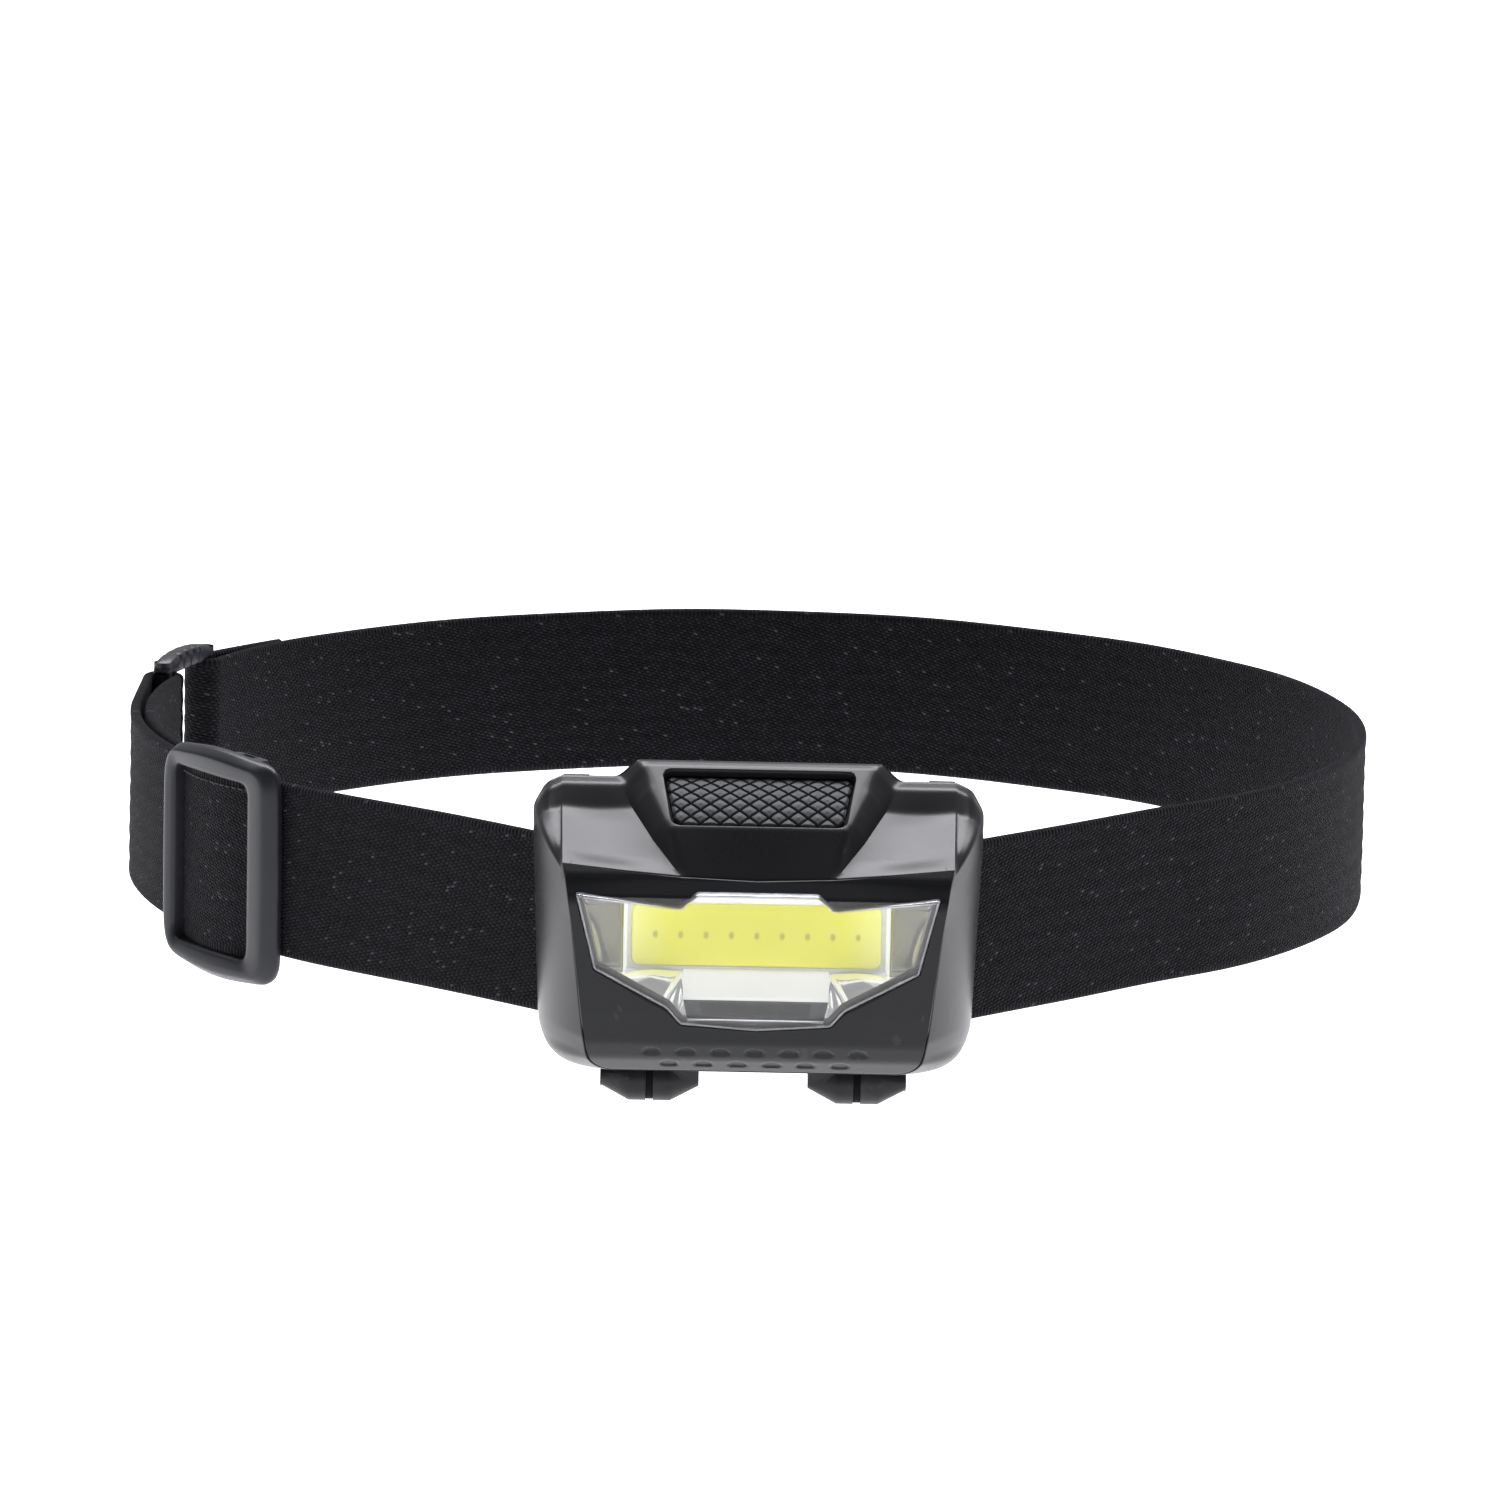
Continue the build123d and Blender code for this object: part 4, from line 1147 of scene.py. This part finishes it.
def facePanel():
    q = panel
    outer = panelOutline()
    inward = -outer / np.linalg.norm(outer, axis=1)[:, None]
    outer = outer + inward * q["gap"]
    eased = outer + inward * 0.1
    window = mirroredLoop(windowHalf())
    toMiddle = np.array([0, q["windowZ"]]) - window
    toMiddle /= np.linalg.norm(toMiddle, axis=1)[:, None]
    # Each ring: outline, line that gives its depth, distance behind the face
    rings = [(outer, outer, 1.3), (outer, outer, 0.22), (eased, eased, 0.04)]
    for s in np.linspace(0.02, 0.985, q["rings"]):
        between = outer * (1 - s) + window * s
        rings.append((between, between, 0.0))
    rings += [(window + toMiddle * inset, window, drop) for inset, drop in q["lip"]]
    points = np.array([
        np.stack([line[:, 0], panelY(depth[:, 1]) + drop, line[:, 1]], 1) for line, depth, drop in rings
    ])
    front = points[3 : 3 + q["rings"]].reshape(-1, 3)
    pressDimples(front)
    points[3 : 3 + q["rings"]] = front.reshape(q["rings"], -1, 3)
    return points.reshape(-1, 3), gridFaces(points.shape[0], points.shape[1], closeColumns=True)


facePiece = toPiece("facePanel", *facePanel(), "faceMatte", "lamp_head", "matte_black", 38, outward=False)
work = bmesh.new()
work.from_mesh(facePiece.data)
bmesh.ops.bridge_loops(work, edges=[e for e in work.edges if e.is_boundary])
bmesh.ops.recalc_face_normals(work, faces=work.faces)
work.to_mesh(facePiece.data)
work.free()
shadeSmooth(facePiece.data, 38)
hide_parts("face_bezel")
print("face panel made:", len(facePiece.data.polygons), "faces")

# Clear cover: rings of the window's outline as (shrink, distance out of the face)
cover = {
    "faceY": -127.0, "lean": 0.129, "out": (0.992, 0.128), "inside": (0.6, -1.55),
    "rings": [(0.10, -1.55), (0.10, -0.12), (0.16, 0.08), (0.28, 0.2), (0.45, 0.24)],
}


def leanY(z):
    # Depth of the leaning front plane at a height
    return cover["faceY"] - (z - panel["windowZ"]) * cover["lean"]


def coverShape():
    outY, outZ = cover["out"]
    rings = [*cover["rings"], cover["inside"]]
    points = []
    for shrink, out in rings:
        points += [(x, leanY(z) - out * outY, z - out * outZ) for x, z in shrunkWindow(shrink)]
    size = len(points) // len(rings)
    front, back = (len(rings) - 2) * size, (len(rings) - 1) * size
    faces = gridFaces(len(rings) - 1, size, closeColumns=True) + [tuple(range(front, front + size))]
    faces += [(i, (i + 1) % size, back + (i + 1) % size, back + i) for i in range(size)]
    faces += [tuple(range(back + size - 1, back - 1, -1))]
    return points, faces, [1] * front + [0] * (size + 2)


coverPoints, coverFaces, coverFinishes = coverShape()
lensPiece = toPiece(
    "lensCover", coverPoints, coverFaces, ["lens", "lensEdge"], "lamp_head", "clear_lens", 25,
    finishOf=coverFinishes,
)
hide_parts("lens")
keepNode("lens_gasket", "seal")
print("cover made")

# Reflector: a faceted funnel with a stepped trough under the emitter. Named corners as (x, y, z) for one side
funnel = {
    # Facet tones: chrome, white with painted glow as painted reflection, dark step in painted shade, end
    # walls in painted shade with painted glow
    "backY": -118.25, "rimGap": 2.3, "wall": 0.25, "chrome": 0, "bright": 1, "shadow": 2, "end": 3,
    "outerTop": (23.6, 9.6), "outerLow": (21.1, -0.4), "wing": (20.6, -1.3), "scoop": (12.4, -5.4),
    "stepOut": (10.4, -7.0), "lipOut": (9.0, -8.3), "roofIn": (9.8, 8.3),
    "frameY": -121.6, "floorFront": (-122.0, -4.9), "stepFront": (-124.3, -6.9),
}


def onRim(place, side=1):
    # A corner that lies on the leaning plane behind the cover
    x, z = place
    return (side * x, leanY(z) + funnel["rimGap"], z)


def reflectorSide(side):
    # End wall with its narrow frame in painted reflection (white with painted glow), the wing's roof and the
    # scoop under the emitter's end; the outer end facets are grey chrome in painted shade with a painted glow
    f = funnel
    backY, frameY = f["backY"], f["frameY"]
    chrome, bright, end = f["chrome"], f["bright"], f["end"]
    rimCorners = ("outerTop", "outerLow", "wing", "scoop", "stepOut", "lipOut", "roofIn")
    outerTop, outerLow, wing, scoop, stepOut, lipOut, roofIn = [onRim(f[name], side) for name in rimCorners]
    frameTop, frameLow = (side * 17.9, frameY, 8.8), (side * 17.9, frameY, -1.3)
    wallTop, wallLow = (side * 17.45, backY, 8.4), (side * 17.45, backY, -1.3)
    scoopBack, floorBack = (side * 14.4, backY - 0.6, -1.75), (side * 9.7, backY - 0.3, -1.6)
    floorEdge, stepEdge = (side * 9.7, *f["floorFront"]), (side * 9.1, -123.6, -6.3)
    emitterTop, emitterLow = (side * 17.5, backY, 8.4), (side * 17.5, backY, -1.3)
    roofBack = (side * 8.6, backY, 8.6)
    return [
        ((wallTop, frameTop, frameLow, wallLow), bright, 4, 0.0),
        ((frameTop, outerTop, outerLow, frameLow), end, 8, 0.45 * side),
        ((emitterLow, outerLow, wing, scoopBack), chrome, 6, 0.2 * side),
        ((scoopBack, wing, scoop, floorBack), chrome, 10, -0.9 * side),
        ((floorBack, scoop, stepOut, floorEdge), chrome, 6, 0.3 * side),
        ((emitterTop, roofBack, roofIn, outerTop), chrome, 5, 0.1),
        ((floorEdge, stepOut, lipOut, stepEdge), chrome, 4, 0.1),
    ]


def reflectorMiddle():
    # Floor in painted reflection (white with painted glow), step in painted shade, and chrome front lip
    f = funnel
    lines = [(9.7, f["backY"] - 0.3, -1.45), (9.7, *f["floorFront"]), (9.1, *f["stepFront"])]
    lines.append(onRim(f["lipOut"]))
    quads = [((-xA, yA, zA), (xA, yA, zA), (xB, yB, zB), (-xB, yB, zB))
             for (xA, yA, zA), (xB, yB, zB) in zip(lines[:-1], lines[1:])]
    tones = (f["bright"], f["shadow"], f["chrome"])
    return [(quad, tone, 8, puff) for quad, tone, puff in zip(quads, tones, (0.0, -0.1, 0.15))]


def reflectorShape():
    points, faces, tones = [], [], []
    for corners, tone, cuts, puff in [*reflectorSide(-1), *reflectorSide(1), *reflectorMiddle()]:
        # Four-cornered facet, slightly hollowed so that it catches light unevenly
        a, b, c, d = [np.array(p, float) for p in corners]
        normal = np.cross(b - a, d - a)
        normal /= np.linalg.norm(normal)
        start = len(points)
        for s in np.arange(cuts + 1) / cuts:
            for t in np.arange(cuts + 1) / cuts:
                p = (a * (1 - s) + b * s) * (1 - t) + (d * (1 - s) + c * s) * t
                points.append(p + normal * puff * 16 * s * (1 - s) * t * (1 - t))
        faces += gridFaces(cuts + 1, cuts + 1, start=start)
        tones += [tone] * cuts**2
    return points, faces, tones


reflectorPoints, reflectorFaces, tones = reflectorShape()
reflectorPiece = toPiece(
    "reflectorShell", reflectorPoints, reflectorFaces, ["chrome", "brightWall", "shadowWall", "endWallPaintedShade"],
    "lamp_head", "chrome_plate", 22, outward=False, finishOf=tones,
)
thicken(reflectorPiece, funnel["wall"], 0)
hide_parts("reflector")

# Tab over the emitter behind the raised part of the cover, white with painted glow as a painted reflection:
# levels are (shrink, y)
tab = {
    "outline": [(-9.2, 11.0), (-9.2, 8.1), (9.2, 8.1), (9.2, 11.0)], "round": [0.1, 1.3, 1.3, 0.1],
    "middleZ": 9.8,
    "levels": [(0.35, -119.4), (0.05, -119.7), (0.0, -120.0), (0.05, -120.35), (0.35, -120.5)],
}
tabOutline = rounded(tab["outline"], tab["round"], count=9)
tabPoints = [
    (x - np.sign(x) * shrink, y, z - np.sign(z - tab["middleZ"]) * shrink)
    for shrink, y in tab["levels"] for x, z in tabOutline
]
tabFaces = tubeFaces(len(tab["levels"]), len(tabOutline))
toPiece("reflectorTab", tabPoints, tabFaces, "brightWall", "lamp_head", "chrome_plate", 40)

# Emitter: board, yellow coating and its white dam
coating = {
    "width": 33.5, "height": 8.5, "radius": 1.2, "backY": -117.95, "frontY": -118.4,
    "dome": 0.06, "ease": 0.25,
}


def coatingShape():
    # Rounded flat pad facing forward, with an eased rim and a slight dome
    c = coating
    width, height, frontY, ease = c["width"], c["height"], c["frontY"], c["ease"]
    right, top = width / 2, height / 2
    outline = rounded([(-right, -top), (right, -top), (right, top), (-right, top)], c["radius"], count=8)
    levels = [(1.0, c["backY"]), (1.0, frontY + ease), (1 - ease * 0.3 / height * 2, frontY + ease * 0.3)]
    levels += [(1 - ease * 2 / height, frontY)]
    levels += [(scale, frontY - c["dome"] * (1 - scale**2)) for scale in (0.7, 0.45, 0.2, 0.05)]
    points = []
    for scale, y in levels:
        wide = 1 - (1 - scale) * height / width if scale > 0.75 else scale
        points += [(x * wide, y, dieRow["height"] + z * scale) for x, z in outline]
    return points, tubeFaces(len(levels), len(outline))


coatingPiece = toPiece("emitterCoating", *coatingShape(), "phosphor", "lamp_head", "phosphor", 45)
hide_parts("led_phosphor")
softened("led_dam", "emitterDam", "dam", "dam_white", 0.2)
keepNode("led_board", "boardWhite")

# Key's surface: domed diamonds between crossed grooves
def keyHeight(u, v, toEnd, toSide):
    k = key
    t = (v + k["half"]) / (2 * k["half"])
    bow = k["bow"] * sin(pi * t) - k["sink"] * t * t  # steeper in front, sinking towards the rear
    a, b = u / k["pitch"][0] + v / k["pitch"][1], u / k["pitch"][0] - v / k["pitch"][1]
    da, db = abs((a % 1) - 0.5), abs((b % 1) - 0.5)
    near = min(0.5 - da, 0.5 - db) * 1.7
    groove = 1 - smoothStep(np.array((near - 0.03) / k["groove"]))
    dome = k["dome"] * (1 - 2 * da) * (1 - 2 * db)
    edge = 1 - smoothStep(np.array(min(toEnd, toSide) / k["edge"]))
    worn = 0.04 * noise.noise(Vector((u * 0.5, v * 0.5, 1.0)))
    return k["top"] + bow - float(groove) * k["depth"] + dome - float(edge) * 0.3 + worn


def keyTop():
    k = key
    rows, columns = k["grid"]
    points = []
    for v in np.linspace(-k["half"], k["half"], rows):
        half = float(np.interp(v, [-k["half"], k["half"]], [k["front"], k["rear"]]))
        toEnd = k["half"] - abs(v)
        if toEnd < k["corner"]:
            half -= k["corner"] - sqrt(max(0.0, k["corner"] ** 2 - (k["corner"] - toEnd) ** 2))
        for u in np.linspace(-half, half, columns):
            points.append(onButton(u, v, keyHeight(u, v, toEnd, half - abs(u))))
    faces = gridFaces(rows, columns)
    # The skirt goes down from the rim to one level
    low = (rows - 1) * columns
    rim = [r * columns for r in range(rows)] + list(range(low + 1, low + columns))
    rim += [r * columns + columns - 1 for r in range(rows - 2, -1, -1)] + list(range(columns - 2, 0, -1))
    start, size = len(points), len(rim)
    for i in rim:
        height = (points[i] - buttonOrigin) @ buttonOut
        points.append(points[i] + buttonOut * (k["skirt"] - height))
    faces += [(rim[i], rim[(i + 1) % size], start + (i + 1) % size, start + i) for i in range(size)]
    return points, faces + [tuple(range(start, start + size))]


def keyStem():
    # Meets the switch's plunger
    points = []
    for height, radius in ((-2.05, 1.6), (-2.3, 1.6), (-2.4, 1.5)):
        for t in range(24):
            turn = t * pi / 12
            points.append(onButton(radius * cos(turn), radius * sin(turn) + key["stemV"], height))
    return points, tubeFaces(3, 24)


def buttonShape():
    # The flange keeps the key in its opening
    flange = keyPlug(key["flange"], [(-1.7, 0.0), (-1.72, 0.7), (-2.08, 0.7), (-2.1, 0.0)])
    return merged(keyTop(), flange, keyStem())


buttonPiece = toPiece("buttonCap", *buttonShape(), "rubber", "button", "button_rubber", 50)
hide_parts("button_cap")
print("button made")

# Pieces that keep the CAD's shape with rounded corners: (node, piece, finish, slot, corner in mm)
outerPieces = [
    ("rear_housing", "rearHousing", "shell", "satin_black", 0.16),
    ("battery_door", "batteryDoor", "doorGrey", "door_grey", 0.14),
    ("holder_bracket", "holderBracket", "shell", "satin_black", 0.35, 3),
    ("hinge_pins", "hingePins", "steel", "steel", 0.2),
]
innerPieces = [
    ("switch_plunger", "switchPlunger", "chip", "chip", 0.12),
    ("switch_body", "switchBody", "chip", "chip", 0.12),
    ("control_board", "controlBoard", "boardGreen", "board_green", 0.08),
    ("driver_parts", "driverParts", "chip", "chip", 0.1),
    ("battery_cells", "batteryCells", "cellWrap", "cell_wrap", 0.3),
    ("contact_plates", "contactPlates", "nickel", "nickel", 0.08),
    ("housing_screws", "housingScrews", "steel", "steel", 0.12),
]
for values in outerPieces:
    softened(*values)

washer = {"x": 14.1, "y": -105.0, "z": -19.2, "steps": 32,
          "profile": ((-0.49, 2.3), (-0.49, 3.05), (-0.42, 3.1), (0.42, 3.1), (0.49, 3.05), (0.49, 2.3))}


def washers():
    # Thin spacers on the pins that fill the slit between lug and ear
    w = washer
    parts = []
    for side in (-1, 1):
        points = []
        for x, radius in w["profile"]:
            for turn in np.arange(w["steps"]) * 2 * pi / w["steps"]:
                points.append((side * w["x"] + x, w["y"] + radius * cos(turn), w["z"] + radius * sin(turn)))
        parts.append((points, tubeFaces(len(w["profile"]), w["steps"])))
    return merged(*parts)


toPiece("hingeWashers", *washers(), "washer", "strap_frame", "satin_black", 40)

for values in innerPieces:
    softened(*values)
keepNode("contact_springs", "steel")
keepNode("battery_leads", "wireRed")
keepNode("emitter_leads", "wireRed")
print("inner pieces made")

# Studio: pale floor, soft lights and the camera, in metres and degrees
studio = {
    "floorZ": -0.055, "floorHalf": 14.0, "floorGlow": 0.86, "lampCentre": (0, -0.11, 0.0),
    "distance": 1.3, "elevation": 10.8, "turn": -0.37, "roll": 1.2,
    "lens": 211.86, "shift": (-0.0027, 0.0297),
    "skyTint": (0.97, 0.98, 1.0), "skyTurn": 22, "skySpan": (0.1, 0.85), "skyLevels": (0.12, 0.42),
}
# Name, place, size, power, tint
softboxes = [
    ("rearTop", (0.0, 0.75, 1.25), (1.7, 0.6), 31, (0.96, 0.955, 1.0)),
    ("leftSide", (-1.3, -0.5, 0.55), (0.8, 0.9), 0.9, (1, 1, 1)),
    ("rightSide", (1.3, -0.4, 0.55), (0.8, 0.9), 1.1, (1, 1, 1)),
    ("frontFill", (0.15, -1.9, 0.9), (1.0, 0.7), 2.2, (1, 1, 1)),
]

floorMesh = bpy.data.meshes.new("floor")
work = bmesh.new()
bmesh.ops.create_grid(work, x_segments=8, y_segments=8, size=studio["floorHalf"])
bmesh.ops.translate(work, verts=work.verts, vec=(0, 0, studio["floorZ"]))
work.to_mesh(floorMesh)
work.free()
floor = bpy.data.objects.new("floor", floorMesh)
bpy.context.scene.collection.objects.link(floor)
floorFinish = Finish("paleFloor", (0.9, 0.9, 0.9))
floorMesh.materials.append(floorFinish.surface(
    Base_Color=floorFinish.blend(floorFinish.grain(900.0, 2.0), (0.90, 0.90, 0.905), (0.93, 0.93, 0.935)),
    Roughness=0.9,
    Specular_IOR_Level=0.1,
    Emission_Color=(1.0, 1.0, 1.0, 1),
    Emission_Strength=studio["floorGlow"],
))

for name, place, size, power, tint in softboxes:
    light = bpy.data.lights.new(name, "AREA")
    light.shape = "RECTANGLE"
    light.size, light.size_y = size
    light.energy = power
    light.color = tint
    holder = bpy.data.objects.new(name, light)
    holder.location = place
    holder.rotation_mode = "QUATERNION"
    holder.rotation_quaternion = (Vector(place) - Vector(studio["lampCentre"])).to_track_quat("Z", "Y")
    bpy.context.scene.collection.objects.link(holder)


class Sky(Finish):
    # The studio's walls: brighter above and behind the lamp
    def __init__(self, world):
        world.use_nodes = True
        self.tree = world.node_tree
        self.shader = self.tree.nodes["Background"]
        skyTurn = radians(studio["skyTurn"])
        direction = self.node("ShaderNodeTexCoord", output="Generated")
        values = [direction, (0, cos(skyTurn), sin(skyTurn))]
        facing = self.node("ShaderNodeVectorMath", {"operation": "DOT_PRODUCT"}, values, "Value")
        levels = [facing, *studio["skySpan"], *studio["skyLevels"]]
        strength = self.node("ShaderNodeMapRange", {"interpolation_type": "SMOOTHSTEP"}, levels)
        self.plug(self.shader.inputs["Strength"], strength)
        self.plug(self.shader.inputs["Color"], studio["skyTint"])


bpy.context.scene.world = bpy.data.worlds.new("studio")
Sky(bpy.context.scene.world)

cameraData = bpy.data.cameras.new("camera")
camera = bpy.data.objects.new("camera", cameraData)
bpy.context.scene.collection.objects.link(camera)
tilt, turn = radians(studio["elevation"]), radians(studio["turn"])
back = Vector((sin(turn) * cos(tilt), -cos(turn) * cos(tilt), sin(tilt)))
roll = Matrix.Rotation(radians(studio["roll"]), 3, "Z").to_quaternion()
camera.location = back * studio["distance"]
camera.rotation_mode = "QUATERNION"
camera.rotation_quaternion = back.to_track_quat("Z", "Y") @ roll
cameraData.sensor_width = 36
cameraData.lens = studio["lens"]
cameraData.shift_x, cameraData.shift_y = studio["shift"]
cameraData.clip_start, cameraData.clip_end = 0.05, 60
bpy.context.scene.camera = camera
bpy.context.scene.view_settings.view_transform = "Standard"
print("studio ready")
